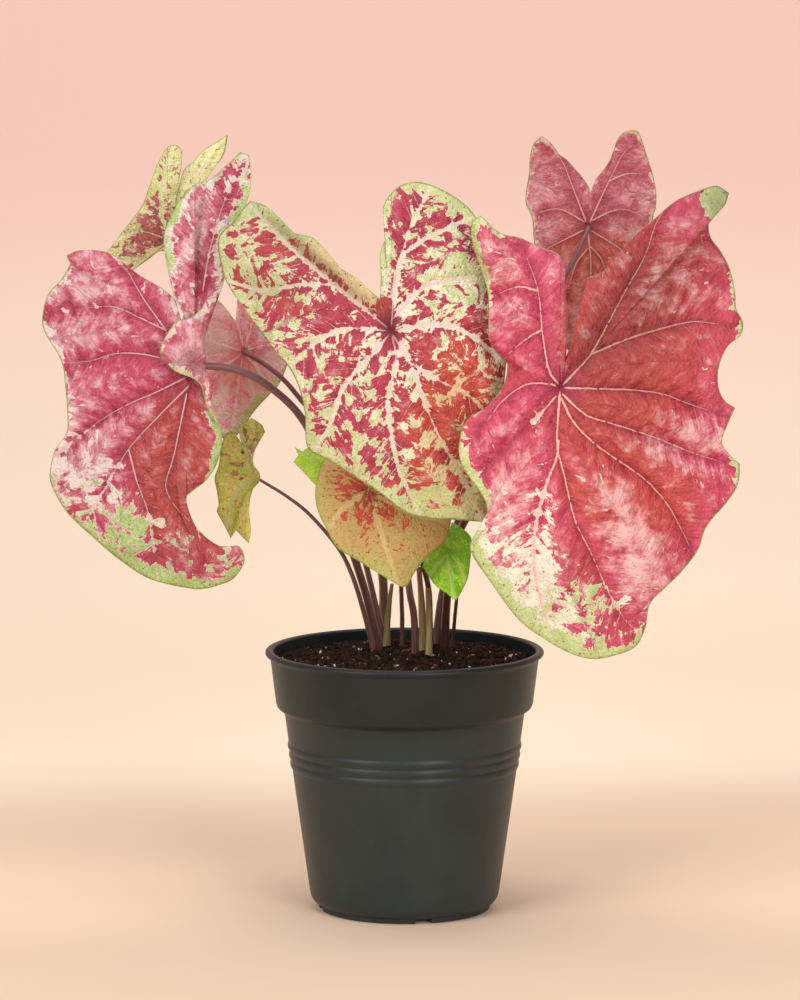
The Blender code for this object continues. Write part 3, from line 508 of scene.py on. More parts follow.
# Main veins, from near the joint outwards, in steps about it as they look from the viewpoint
VEINS = {
    "right": [
        [(0, -3), (-3, -54), (4, -87), (15, -132), (31, -165), (46, -199), (64, -230), (82, -247)],
        [(-1, -52), (-4, -72), (-14, -98), (-25, -143), (-25, -187), (-14, -230)],
        [(2, -6), (26, -27), (49, -35), (93, -49), (133, -65), (163, -74)],
        [(1, -10), (15, -36), (40, -60), (82, -89), (107, -116), (122, -143), (130, -160)],
        [(3, 0), (36, -1), (71, -2), (102, -6), (129, -16), (150, -23)],
        [(2, 2), (30, 33), (50, 68), (67, 100), (85, 132), (96, 164), (108, 182)],
        [(30, 33), (60, 46), (90, 56), (131, 66), (158, 64)],
        [(-1, 3), (-11, 17), (-16, 44), (-18, 58), (-22, 97), (-34, 132)],
        [(-18, 58), (-32, 50), (-53, 33)],
        [(-22, 97), (-42, 101), (-64, 93)],
        [(-2, 1), (-13, 4), (-34, 3), (-57, -13), (-75, -36)],
        [(-4, -8), (-16, -22), (-28, -34)],
    ],
    "centre": [
        [(1, -3), (19, -32), (32, -67), (45, -99), (67, -139), (92, -186)],
        [(1, -5), (5, -29), (-2, -61), (-2, -88), (7, -135), (22, -170)],
        [(-1, -3), (-27, -32), (-48, -57), (-61, -93), (-72, -112)],
        [(-3, 0), (-44, 2), (-73, -10), (-90, -25)],
        [(-2, 2), (-31, 25), (-56, 46), (-77, 63), (-103, 86), (-128, 112)],
        [(-56, 46), (-90, 46), (-126, 40), (-150, 46)],
        [(0, 4), (4, 44), (11, 76), (19, 103), (34, 132)],
        [(3, 0), (51, 6), (83, -6), (104, -24)],
        [(2, 12), (30, 42), (62, 51), (89, 53), (102, 48)],
        [(19, -32), (48, -50), (80, -66), (104, -96)],
        [(11, 76), (34, 92), (60, 104)],
    ],
    "left": [
        [(-24, 28), (-29, 33), (-55, 46), (-77, 56), (-93, 57), (-120, 54)],
        [(-24, 27), (-38, 46), (-52, 66), (-66, 90), (-80, 106)],
        [(-34, 6), (-56, 10), (-80, 10), (-104, 3), (-129, 1)],
        [(-8, -13), (-38, -28), (-66, -40), (-92, -55), (-112, -70)],
        [(-5, -21), (-34, -50), (-66, -85), (-92, -128)],
        [(-8, -29), (-21, -91), (-29, -120), (-22, -138), (-10, -152), (8, -166), (25, -179)],
        [(-66, -85), (-58, -116), (-46, -150), (-40, -190)],
        [(8, 72), (14, 108), (24, 146), (36, 178)],
        [(14, 108), (28, 128), (36, 150)],
    ],
    "mid_left": [
        [(0, 3), (-6, 28), (-9, 50)],
        [(1, 3), (7, 24), (12, 44)],
        [(-2, 1), (-20, 6), (-48, 12)],
        [(2, 1), (18, 6), (34, 8)],
        [(-1, -3), (-5, -28), (-9, -58)],
        [(-2, -2), (-22, -18), (-38, -34)],
        [(1, -2), (14, -18), (26, -36)],
    ],
    "back_left": [
        [(-1, -2), (-30, -25), (-68, -53)],
        [(-1, 3), (-8, 40), (2, 82)],
        [(1, 3), (16, 38), (40, 82)],
        [(-2, 1), (-24, 8), (-42, 4)],
    ],
    "back_right": [
        [(-1, 2), (-15, 38), (-26, 65), (-42, 84)],
        [(1, 2), (21, 45), (35, 72), (47, 83)],
        [(-3, 4), (-29, 17), (-54, 12)],
        [(3, 5), (24, 15), (40, 16), (62, 6)],
        [(-2, -3), (-38, -21), (-50, -30)],
        [(0, -4), (3, -46), (0, -104), (-4, -136)],
        [(2, -4), (31, -22), (50, -40)],
        [(2, -20), (14, -34), (20, -56)],
        [(0, -22), (-12, -38), (-20, -64)],
        [(21, 45), (38, 52), (58, 52)],
    ],
    "low_left": [
        [(-4, -2), (-18, -10), (-27, -30), (-32, -54)],
        [(-4, 4), (-8, 22), (-14, 38)],
    ],
    "low_centre": [
        [(1, -3), (10, -40), (22, -76)],
        [(-2, -1), (-26, -18), (-40, -36)],
        [(2, -1), (34, -20), (60, -28)],
    ],
    "low_right": [
        [(-2, 0), (0, -20), (5, -50)],
        [(-1, -5), (-12, -16), (-18, -24)],
        [(1, -5), (9, -14), (13, -24)],
        [(0, 4), (-6, 14)],
    ],
    "small": [[(-2, 1), (-12, 8), (-24, 14)]],
}


def rgb(red: float, green: float, blue: float) -> Colour:
    """A colour from 0 to 255 steps as the eye sees them, in the linear values that shaders take."""
    shares = (value / 255 for value in (red, green, blue))
    return tuple(s / 12.92 if s <= 0.04045 else ((s + 0.055) / 1.055) ** 2.4 for s in shares)


HOT_PINK = rgb(205, 72, 102)
TERRACOTTA = rgb(194, 72, 66)
DEEP_RED = rgb(142, 24, 52)
LEAF_GREEN = rgb(176, 198, 96)
VEIN_PINK = rgb(242, 186, 166)
RIM_GREEN = rgb(168, 176, 104)
DULL_GREEN = rgb(186, 182, 148)
SPECK_CREAM = rgb(234, 236, 200)
SHADE_GREY = rgb(128, 112, 110)

# In the splashes, dim paints shade over folds and parts turned from the light, partly a duskier tone, and
# paints light where it is below 0
PAINTS = {
    "right": LeafPaint(
        pink=HOT_PINK, warm=TERRACOTTA, deep=DEEP_RED, ground=rgb(240, 229, 206), green=LEAF_GREEN,
        pale=rgb(240, 190, 186), vein=VEIN_PINK, rim=RIM_GREEN, under=DULL_GREEN, tan=rgb(226, 200, 150),
        cover=1.2, greenness=0.3, paleness=-0.1, warmth=0.35, rim_width=0.9, edging=0.12, edge_width=5.5,
        vein_band=0.3, blotch=0.9, softness=0.03, dusk_and_shade_base=0.05, vein_show=0.9,
        splashes=(
            Splash((-44, -170), (44, 74), 20, pink=-0.6, pale=0.3, green=-0.2),
            Splash((-18, -110), (16, 50), 4, pink=-0.5, green=-0.2),
            Splash((-16, -190), (12, 60), -4, pink=-0.5),
            Splash((20, -222), (90, 36), 8, pink=-0.6, green=0.1),
            Splash((-20, -26), (8, 20), -20, pink=-0.7, green=-0.3),
            Splash((-62, -200), (24, 56), 32, pink=-0.5, green=0.1),
            Splash((4, -256), (64, 14), pink=-0.5, green=0.25),
            Splash((-30, -216), (100, 66), dusk_and_shade=0.16),
            Splash((-88, -80), (20, 60), pink=-0.2, green=0.3, edge=1.2),
            Splash((-84, -170), (34, 60), 20, edge=1.2, green=0.15),
            Splash((-30, -240), (60, 34), -20, edge=1.3, green=0.2),
            Splash((50, -262), (50, 22), 10, edge=1.2, green=0.3),
            Splash((-86, 132), (30, 56), edge=1.5, pink=-0.42, green=0.2),
            Splash((-70, 30), (30, 26), edge=0.4),
            Splash((160, 186), (22, 30), pink=-1.3, green=1.0, dusk_and_shade=0.55),
            Splash((176, 106), (16, 44), edge=1.0, green=0.7),
            Splash((184, 50), (10, 14), edge=1.0, green=0.5),
            Splash((180, -80), (16, 26), edge=1.1, green=0.3),
            Splash((60, 20), (70, 90), warm=0.6, dusk_and_shade=0.26),
            Splash((90, 110), (56, 80), -30, dusk_and_shade=0.42, warm=0.3),
            Splash((24, 34), (18, 44), -30, dusk_and_shade=0.25),
            Splash((70, -110), (60, 90), warm=0.5),
            Splash((-60, 100), (50, 60), warm=-0.5, pale=0.4),
            Splash((64, -136), (24, 60), 24, pale=0.45, warm=-0.3),
            Splash((110, 20), (60, 50), pale=-0.2),
            Splash((80, -190), (40, 40), pale=0.4, warm=-0.2),
            Splash((140, -50), (40, 40), pale=0.5, warm=-0.3),
            Splash((90, -52), (36, 10), -24, pale=0.5, warm=-0.5),
            Splash((104, 100), (50, 60), pale=0.3),
            Splash((-60, -90), (50, 60), pale=0.3),
            Splash((30, -206), (24, 16), -50, green=0.8, pink=-0.2),
            Splash((0, 2), (24, 24), warm=-0.5, pink=0.4),
        ),
    ),
    "centre": LeafPaint(
        pink=rgb(186, 56, 80), warm=rgb(196, 72, 54), deep=rgb(128, 12, 40), ground=rgb(243, 234, 202),
        green=rgb(192, 204, 122), pale=rgb(246, 222, 212), vein=rgb(240, 194, 190),
        rim=rgb(156, 168, 82), under=DULL_GREEN, tan=rgb(214, 176, 110),
        cover=0.54, greenness=0.62, paleness=-0.15, warmth=0.2, rim_width=1.0, vein_show=0.6,
        edging=0.25, edge_width=5.0, vein_band=0.26, blotch=0.94, vein_reach=3.5, softness=0.025,
        dusk_and_shade_base=0.2,
        splashes=(
            Splash((-5, 16), (7, 24), 14, pink=1.3, green=-0.3, dusk_and_shade=0.3),
            Splash((0, 0), (70, 60), green=-0.3, pink=0.06),
            Splash((-140, 76), (50, 60), 40, pink=-0.06, green=0.1, dusk_and_shade=0.1, warm=0.2),
            Splash((60, 122), (50, 26), -20, green=0.1, edge=0.9),
            Splash((-12, 76), (9, 56), edge=1.3, green=-0.4),
            Splash((60, -95), (44, 56), warm=1.0, pink=0.16, green=-0.4),
            Splash((84, -50), (34, 56), warm=0.4, green=-0.3, dusk_and_shade=-0.14),
            Splash((70, -165), (66, 34), 10, pink=-0.22, green=0.1, warm=1.0, edge=0.4),
            Splash((-46, -116), (70, 26), -30, green=0.3, edge=0.5),
            Splash((-60, 30), (44, 30), -40, pink=0.16, green=-0.1),
            Splash((-50, 64), (80, 10), -42, warm=1.0, green=-0.7, edge=1.3),
            Splash((-70, 66), (76, 7), -42, dusk_and_shade=0.55, warm=0.8),
            Splash((-120, 40), (40, 14), -20, dusk_and_shade=0.2, warm=0.4, green=0.2),
            Splash((-100, 108), (40, 12), -10, dusk_and_shade=0.1, warm=0.3, edge=0.6),
            Splash((80, 52), (34, 26), green=0.1, pink=-0.3),
            Splash((10, 110), (20, 40), pink=0.25),
        ),
    ),
    "left": LeafPaint(
        pink=rgb(199, 68, 99), warm=rgb(192, 73, 62), deep=rgb(134, 24, 46), ground=rgb(242, 220, 214),
        green=rgb(152, 190, 58), pale=rgb(238, 196, 200), vein=rgb(242, 196, 192),
        rim=rgb(174, 184, 96), under=rgb(216, 150, 146), tan=rgb(232, 196, 164), under_mix=0.2,
        cover=1.0, greenness=0.08, paleness=-0.04, warmth=0.3, rim_width=1.0, edging=0.28, edge_width=5.0,
        dusk_and_shade_base=0.22, blotch=0.9, softness=0.05,
        splashes=(
            Splash((-112, 66), (40, 50), pink=-0.2, pale=0.4, warm=-0.4, edge=0.3),
            Splash((-136, 0), (24, 50), edge=0.4, pale=0.3, warm=-0.3),
            Splash((-120, -60), (32, 34), pink=-0.2, pale=0.3),
            Splash((-106, -104), (44, 30), -20, pink=-0.4, pale=0.3, edge=0.4, dusk_and_shade=0.1),
            Splash((-86, -150), (60, 26), -34, pink=-0.42, pale=0.2, green=0.3, edge=0.6),
            Splash((-58, -166), (22, 16), -30, green=0.85, pink=-0.5),
            Splash((-60, -176), (70, 24), -24, green=0.4, pink=-0.05),
            Splash((-60, -60), (50, 24), 30, pale=0.3),
            Splash((-30, -206), (70, 20), -12, pink=-0.35, green=0.9, edge=1.0),
            Splash((-10, -176), (16, 12), green=0.6, pink=-0.2),
            Splash((34, -196), (16, 22), green=0.7, pink=-0.3),
            Splash((-20, -196), (70, 20), -6, dusk_and_shade=0.12, green=0.2),
            Splash((22, -100), (10, 56), edge=1.3, green=1.0),
            Splash((-14, -110), (40, 80), warm=0.7, dusk_and_shade=0.15),
            Splash((10, 130), (40, 70), pale=0.45, pink=-0.22, edge=0.5, warm=-0.1),
            Splash((-20, 130), (12, 50), pink=-0.25, green=0.3, edge=0.7),
            Splash((40, 170), (20, 44), pink=-0.15, green=0.4, edge=0.6),
            Splash((-4, 10), (26, 34), pale=0.5, edge=1.0, green=0.2, warm=-0.4),
            Splash((-60, 50), (40, 36), warm=-0.5, pale=0.2),
        ),
    ),
    "mid_left": LeafPaint(
        pink=rgb(255, 160, 182), warm=rgb(255, 164, 146), deep=rgb(240, 126, 142),
        ground=rgb(255, 240, 230), green=rgb(200, 206, 104), pale=rgb(255, 222, 220),
        vein=rgb(255, 214, 212), rim=rgb(160, 168, 90), under=rgb(206, 116, 122), tan=rgb(222, 186, 140),
        cover=0.9, greenness=0.1, paleness=0.5, warmth=0.25, rim_width=0.8, under_mix=0.05, edging=0.3,
        vein_band=0.4, vein_reach=2.6, vein_show=1.0,
        splashes=(
            Splash((-32, 8), (18, 12), pink=-0.5, pale=0.5),
            Splash((0, -66), (50, 20), pink=-0.3, green=0.6, edge=0.5),
            Splash((30, -30), (16, 40), pink=-0.2, green=0.5, edge=0.5),
            Splash((0, -36), (30, 20), warm=0.6),
        ),
    ),
    "back_left": LeafPaint(
        pink=rgb(178, 88, 98), warm=rgb(180, 92, 80), deep=rgb(134, 50, 66), ground=rgb(218, 212, 148),
        green=rgb(184, 182, 86), pale=rgb(224, 218, 170), vein=rgb(206, 196, 130),
        rim=rgb(160, 168, 80), under=rgb(186, 176, 110), tan=rgb(206, 170, 110),
        cover=0.46, greenness=0.55, paleness=0.0, warmth=0.3, rim_width=1.0, under_mix=0.15, edging=0.3,
        edge_width=3.0, blotch=0.8,
        splashes=(
            Splash((44, 74), (34, 40), 30, pink=-0.2, green=-0.6, pale=0.3),
            Splash((-16, 30), (14, 34), pink=0.1),
            Splash((-10, -2), (24, 18), pink=0.3, warm=0.6),
        ),
    ),
    "back_right": LeafPaint(
        pink=rgb(200, 104, 120), warm=rgb(222, 112, 92), deep=rgb(150, 46, 62), ground=rgb(242, 210, 194),
        green=rgb(174, 176, 92), pale=rgb(236, 180, 182), vein=rgb(242, 192, 182),
        rim=rgb(150, 140, 84), under=rgb(190, 98, 104), tan=rgb(216, 176, 130),
        cover=1.06, greenness=0.2, paleness=0.15, warmth=0.2, rim_width=0.8, under_mix=0.1, edging=0.5,
        edge_width=3.0, blotch=0.6, dusk_and_shade_base=0.12,
        splashes=(
            Splash((-54, 84), (16, 16), edge=1.0, green=0.4),
            Splash((50, 92), (16, 10), edge=0.9, green=0.4),
            Splash((54, 10), (16, 30), edge=0.6, pale=0.3),
            Splash((-56, 24), (14, 40), edge=0.5, pale=0.3),
            Splash((0, -60), (50, 60), warm=0.8, dusk_and_shade=-0.12, pale=0.2),
        ),
    ),
    "low_left": LeafPaint(
        pink=rgb(170, 76, 58), warm=rgb(160, 76, 50), deep=rgb(120, 50, 50), ground=rgb(222, 208, 104),
        green=rgb(176, 196, 76), pale=rgb(206, 206, 136), vein=rgb(206, 210, 124),
        rim=rgb(150, 160, 76), under=rgb(150, 158, 96), tan=rgb(202, 160, 92),
        cover=0.12, greenness=0.5, paleness=0.1, warmth=0.4, rim_width=0.7, under_mix=0.6, mottle=0.1,
        splashes=(
            Splash((-20, 0), (10, 26), pink=0.25),
            Splash((-6, 34), (16, 16), pink=0.34, pale=0.4),
        ),
    ),
    "low_centre": LeafPaint(
        pink=rgb(196, 74, 60), warm=rgb(200, 80, 54), deep=rgb(146, 46, 44), ground=rgb(190, 156, 90),
        green=rgb(176, 172, 84), pale=rgb(208, 178, 120), vein=rgb(206, 176, 112),
        rim=rgb(158, 170, 74), under=DULL_GREEN, tan=rgb(204, 164, 96),
        cover=0.22, greenness=0.25, paleness=-0.3, warmth=0.5, rim_width=1.2, edging=0.4, edge_width=4.0,
        blotch=0.6, vein_show=0.5, softness=0.02, mottle=0.1,
        splashes=(
            Splash((2, -14), (30, 26), pink=0.44),
            Splash((-30, 6), (20, 20), pink=0.24),
            Splash((0, -90), (60, 26), pink=-0.3, green=0.4),
            Splash((-48, -30), (14, 50), pink=-0.3, green=0.2),
        ),
    ),
    "low_right": LeafPaint(
        pink=rgb(170, 234, 60), warm=rgb(170, 234, 60), deep=rgb(136, 206, 40), ground=rgb(184, 246, 66),
        green=rgb(120, 200, 30), pale=rgb(196, 236, 110), vein=rgb(216, 244, 150),
        rim=rgb(120, 176, 46), under=rgb(150, 196, 90), tan=rgb(150, 210, 56),
        cover=0.1, greenness=0.6, paleness=0.1, rim_width=0.5, heart=0.0, mottle=0.0,
    ),
    "small": LeafPaint(
        pink=rgb(180, 206, 56), warm=rgb(180, 206, 56), deep=rgb(110, 140, 34), ground=rgb(186, 220, 64),
        green=rgb(156, 206, 44), pale=rgb(186, 210, 110), vein=rgb(184, 206, 104),
        rim=rgb(150, 170, 70), under=rgb(120, 140, 60), tan=rgb(160, 196, 74),
        cover=0.1, greenness=0.5, paleness=0.1, rim_width=0.5, heart=0.0, mottle=0.0,
    ),
}


class Finish(Enum):
    """Names of material slots for the pieces outside the leaves."""

    POT = "pot"
    SOIL = "soil"
    TUBER = "tuber"
    STALK = "petiole"
    OLIVE_STALK = "petiole_olive"
    SHEATH = "sheath"


def joined_by(operation: str, reflected: bool = False) -> Callable[["Value", object], "Value"]:
    """A method that joins a value and another by one Math node.

    Args:
        operation: the node's operation.
        reflected: whether the other comes first.

    Returns:
        The method.
    """

    def joined(self: "Value", other: "Value | float") -> "Value":
        """The two values joined."""
        pair = (other, self) if reflected else (self, other)
        return self.graph.node("ShaderNodeMath", {"operation": operation}, *pair)

    return joined


class Value:
    """A node's output that can be added to, multiplied and compared like a number."""

    def __init__(self, graph: "Graph", socket: bpy.types.NodeSocket) -> None:
        """Holds a socket of the graph.

        Args:
            graph: the graph that the socket's node belongs to.
            socket: the output.
        """
        self.graph = graph
        self.socket = socket

    __add__, __radd__ = joined_by("ADD"), joined_by("ADD", reflected=True)
    __sub__, __rsub__ = joined_by("SUBTRACT"), joined_by("SUBTRACT", reflected=True)
    __mul__, __rmul__ = joined_by("MULTIPLY"), joined_by("MULTIPLY", reflected=True)
    __truediv__, most = joined_by("DIVIDE"), joined_by("MAXIMUM")

    def within(self, low: "Value | float", high: "Value | float") -> "Value":
        """How far the value has gone from low to high, smoothly, from 0 to 1.

        Args:
            low: where the result starts to leave 0.
            high: where it reaches 1. It may be under low.

        Returns:
            The share.
        """
        settings = {"interpolation_type": "SMOOTHSTEP"}
        return self.graph.node("ShaderNodeMapRange", settings, self, low, high, 0.0, 1.0)


class Graph:
    """A Principled material built node by node."""

    def __init__(self, name: str) -> None:
        """Starts a material with its Principled shader.

        Args:
            name: the material's name.
        """
        self.material = bpy.data.materials.new(name)
        self.material.use_nodes = True
        self.tree = self.material.node_tree
        self.shader = self.tree.nodes["Principled BSDF"]

    def node(self, kind: str, settings: dict | None = None, *values: object, pick: int = 0) -> Value:
        """Adds a node, fills its shown inputs in order and gives one of its shown outputs.

        Args:
            kind: the node's type.
            settings: its properties.
            values: numbers, colours, vectors or outputs for its inputs. None leaves an input alone.
            pick: which shown output to give.

        Returns:
            The output.
        """
        made = self.tree.nodes.new(kind)
        for key, value in (settings or {}).items():
            setattr(made, key, value)
        shown = [socket for socket in made.inputs if socket.enabled and not socket.is_unavailable]
        for socket, value in zip(shown, values):
            self.feed(socket, value)
        outputs = [socket for socket in made.outputs if socket.enabled and not socket.is_unavailable]
        return Value(self, outputs[pick])

    def feed(self, socket: bpy.types.NodeSocket, value: object) -> None:
        """Links an output to an input, or sets the input to a plain value.

        Args:
            socket: the input.
            value: a Value, a number, a vector, a colour or None.
        """
        if isinstance(value, Value):
            self.tree.links.new(value.socket, socket)
        elif isinstance(value, tuple) and socket.type == "RGBA":
            socket.default_value = (*value[:3], 1.0)
        elif value is not None:
            socket.default_value = value

    def set(self, **values: object) -> None:
        """Feeds the shader's inputs, with underscores for the blanks in their names."""
        for key, value in values.items():
            self.feed(self.shader.inputs[key.replace("_", " ")], value)

    def mix(self, share: Value | float, first: object, second: object, blend: str = "MIX") -> Value:
        """Two colours mixed.

        Args:
            share: how much of the second.
            first: a colour or an output.
            second: a colour or an output.
            blend: the blend type.

        Returns:
            The mixed colour.
        """
        settings = {"data_type": "RGBA", "blend_type": blend, "clamp_factor": True}
        return self.node("ShaderNodeMix", settings, share, first, second)

    def vector(self, operation: str, *values: object) -> Value:
        """One Vector Math node of these values."""
        return self.node("ShaderNodeVectorMath", {"operation": operation}, *values)

    def scaled(self, place: Value, size: tuple[float, float, float]) -> Value:
        """A place multiplied axis by axis."""
        return self.vector("MULTIPLY", place, size)

    def parts(self, whole: Value) -> list[Value]:
        """The three numbers of a vector."""
        return [self.node("ShaderNodeSeparateXYZ", None, whole, pick=i) for i in range(3)]

    def attribute(self, name: str) -> tuple[Value, Value, Value, Value]:
        """A vector attribute of the mesh as a vector and as its three numbers."""
        whole = self.node("ShaderNodeAttribute", {"attribute_name": name}, pick=1)
        return (whole, *self.parts(whole))

    def place(self) -> Value:
        """The place on the object."""
        return self.node("ShaderNodeTexCoord", pick=3)

    def noise(self, place: Value, scale: float, detail: float = 3.0, rough: float = 0.5,
              twist: float = 0.0) -> Value:
        """Soft noise about 0.5.

        Args:
            place: where.
            scale: cells for each unit of the place.
            detail: octaves.
            rough: how strongly the fine ones count.
            twist: distortion.

        Returns:
            The noise.
        """
        return self.node("ShaderNodeTexNoise", None, place, scale, detail, rough, None, twist)

    def cells(self, place: Value, scale: float, feature: str = "F1") -> Value:
        """A Voronoi pattern of one feature."""
        return self.node("ShaderNodeTexVoronoi", {"feature": feature}, place, scale)

    def bump(self, height: Value, distance: float, strength: float) -> None:
        """Bumps the shader's surface by a height of up to the distance in metres."""
        self.set(Normal=self.node("ShaderNodeBump", None, strength, distance, None, height))


class LeafMaterial:
    """The finish of one leaf: blotches on a pale ground, green margins, pale veins and fine relief."""

    def __init__(self, name: str, paint: LeafPaint) -> None:
        """Builds the material.

        Args:
            name: the leaf's name.
            paint: its colours and shares.
        """
        self.paint = paint
        self.graph = graph = Graph("leaf " + name)
        self.sheet = graph.attribute("sheet")[0]
        # The flow's third number is the dim share: painted shade, partly a duskier tone
        _, self.turn, self.radius, self.dusk_and_shade = graph.attribute("flow")
        _, self.pink, self.green, self.pale = graph.attribute("tone")
        _, self.warm, self.rim, _ = graph.attribute("form")
        _, along, self.away, _ = graph.attribute("fold")
        _, self.rib, _, self.under = graph.attribute("vein")
        self.slant = along - self.away * SIDE_SLANT
        self.near = (self.away * (1.0 + self.radius * 0.01)).within(paint.vein_reach, 0.0)
        self.near = self.near * self.radius.within(2.0, 11.0)
        self.depth = self.shortfall()
        self.dress()

    def feathered(self, across: float, out: float, around: float, detail: float, rough: float,
                  twist: float = 0.0) -> Value:
        """Noise drawn out along the side veins.

        Args:
            across: cells for each millimetre along the main vein.
            out: cells for each millimetre away from it.
            around: cells for each radian about the joint.
            detail: octaves.
            rough: how strongly the fine ones count.
            twist: distortion.

        Returns:
            The noise.
        """
        graph = self.graph
        place = graph.node(
            "ShaderNodeCombineXYZ", None, self.slant * across, self.away * out, self.turn * around
        )
        return graph.noise(place, 1.0, detail, rough, twist)

    def shortfall(self) -> Value:
        """How far the blotch pattern is from being pink: under 0 where the leaf is pink."""
        graph, paint = self.graph, self.paint
        size = 1.0 / paint.blotch
        long = self.feathered(0.19 * size, 0.075 * size, 2.6, 5.0, 0.6, 0.8)
        broad = graph.noise(self.sheet, 0.11 * size, 7.0, 0.64, 0.6)
        wanted = 0.5 + (0.5 - self.pink) * 0.26 + self.near * (1.1 - self.pink).most(0.0) * paint.vein_band
        return wanted - (long * 0.46 + broad * 0.54)

    def ground(self) -> Value:
        """The pale colour between the blotches, greener away from their edges, mottled and specked."""
        graph, paint = self.graph, self.paint
        drift = graph.noise(self.sheet, 0.09, 5.0, 0.62)
        grain = graph.noise(self.sheet, 0.9, 3.0, 0.65)
        wanted = 0.5 + (0.5 - self.green) * 0.34
        patch = (drift * 0.66 + grain * 0.34).within(wanted - 0.05, wanted + 0.05)
        patch = patch * self.depth.within(0.004, 0.03) * (1.0 - self.near * 0.8)
        shade = graph.mix(self.near.within(0.0, 0.5), paint.ground, paint.pale)
        shade = graph.mix(self.warm.within(0.45, 1.1) * 0.8, shade, paint.tan)
        shade = graph.mix(patch * 0.85, shade, paint.green)
        mottle = graph.cells(self.sheet, 0.9, "SMOOTH_F1").within(0.25, 0.6)
        shade = graph.mix(mottle * paint.mottle * self.green.within(0.0, 0.6), shade, SPECK_CREAM)
        return graph.mix(grain.within(0.54, 0.68) * 0.45 * self.green.within(0.1, 0.8), shade, paint.rim)

    def blotch(self) -> Value:
        """The pink colour: warm in patches, deep and pale in patches, with painted shade along the veins
        and painted highlight on the swellings between.
        """
        graph, paint = self.graph, self.paint
        drift = graph.noise(self.sheet, 0.035, 4.0, 0.6)
        streak = self.feathered(0.3, 0.05, 4.0, 4.0, 0.62, 0.3)
        cloud = graph.noise(self.sheet, 0.1, 5.0, 0.66, 0.3)
        warm = (drift + (self.warm - 0.5) * 0.9).within(0.3, 0.7)
        shade = graph.mix(warm, paint.pink, paint.warm)
        # Painted shade and highlight: swell rises away from the veins, deepening the pink near them and
        # paling it on the swellings between
        swell = self.away.within(2.0, 9.0)
        deep_and_vein_shade = streak * 0.4 + cloud * 0.6 + swell * 0.07
        shade = graph.mix(deep_and_vein_shade.within(0.57, 0.36) * 0.66, shade, paint.deep)
        pale_and_ridge_highlight = streak * 0.34 + cloud * 0.66 + self.pale * 0.3 + (swell - 0.5) * 0.1
        shade = graph.mix(pale_and_ridge_highlight.within(0.51, 0.77) * 0.9, shade, paint.pale)
        fleck = self.feathered(0.24, 0.16, 5.0, 3.0, 0.6, 0.8) + self.pale * 0.1
        return graph.mix(fleck.within(0.66, 0.7) * 0.75 * swell, shade, paint.ground)

    def dress(self) -> None:
        """Joins the layers and feeds the shader."""
        graph, paint = self.graph, self.paint
        ragged = graph.noise(self.sheet, 0.35, 4.0, 0.6)
        crinkle = graph.noise(self.sheet, 0.45, 4.0, 0.68, 1.2)
        wrinkle = self.feathered(0.85, 0.13, 7.0, 3.0, 0.6, 0.4)
        pink = graph.mix(self.radius.within(15.0, 3.0) * paint.heart, self.blotch(), paint.deep)
        # Painted shade: the pink deepens in the creases beside the veins
        painted_crease_shade = self.away.within(3.2, 0.2) * 0.5 * self.pink.within(0.4, 1.0)
        pink = graph.mix(painted_crease_shade, pink, paint.deep)
        # Painted shade in the wrinkles' furrows and painted highlight on their ridges, from the noise that
        # also bumps them
        pink = graph.mix(wrinkle.within(0.5, 0.3) * 0.4, pink, paint.deep)
        pink = graph.mix(wrinkle.within(0.56, 0.74) * 0.14, pink, paint.pale)
        cover = self.depth.within(paint.softness * 0.3, -paint.softness * 0.3)
        shade = graph.mix(cover, self.ground(), pink)
        specks = graph.cells(self.sheet, 0.4).within(0.25, 0.16) * ragged.within(0.48, 0.54)
        shade = graph.mix(specks * 0.8 * (1.15 - self.pink) * (1.0 - self.near), shade, paint.deep)
        margin = (self.rim + (ragged - 0.5) * 2.0).within(paint.rim_width * 1.1, paint.rim_width * 0.4)
        shade = graph.mix(margin * 0.85, shade, paint.rim)
        # Painted shade in the crinkle's hollows and painted highlight on its tops, from the noise that also
        # bumps the surface
        shade = graph.mix(crinkle.within(0.5, 0.3) * 0.3, shade, paint.deep, "MULTIPLY")
        shade = graph.mix(crinkle.within(0.58, 0.78) * 0.14, shade, paint.pale)
        shade = graph.mix(self.rib * paint.vein_show * self.radius.within(1.0, 5.0), shade, paint.vein)
        # Painted shade: the dim share multiplies in shade grey
        shade = graph.mix(self.dusk_and_shade, shade, SHADE_GREY, "MULTIPLY")
        under = graph.mix(0.75, shade, paint.under, "MULTIPLY")
        under = graph.mix(0.5, under, paint.under)
        shade = graph.mix(self.under * paint.under_mix, shade, under)
        rough = 0.45 + (ragged - 0.5) * 0.25
        graph.set(Base_Color=shade, Roughness=rough, Specular_IOR_Level=0.38)
        net = graph.cells(self.sheet, 0.32, "DISTANCE_TO_EDGE")
        swell = graph.noise(self.sheet, 0.16, 2.0, 0.5, 0.5)
        height = net.within(0.0, 0.3) * 0.14 + crinkle * 0.16 + swell * 0.5 + wrinkle * 0.34
        graph.bump(height, 0.0034, 0.7)


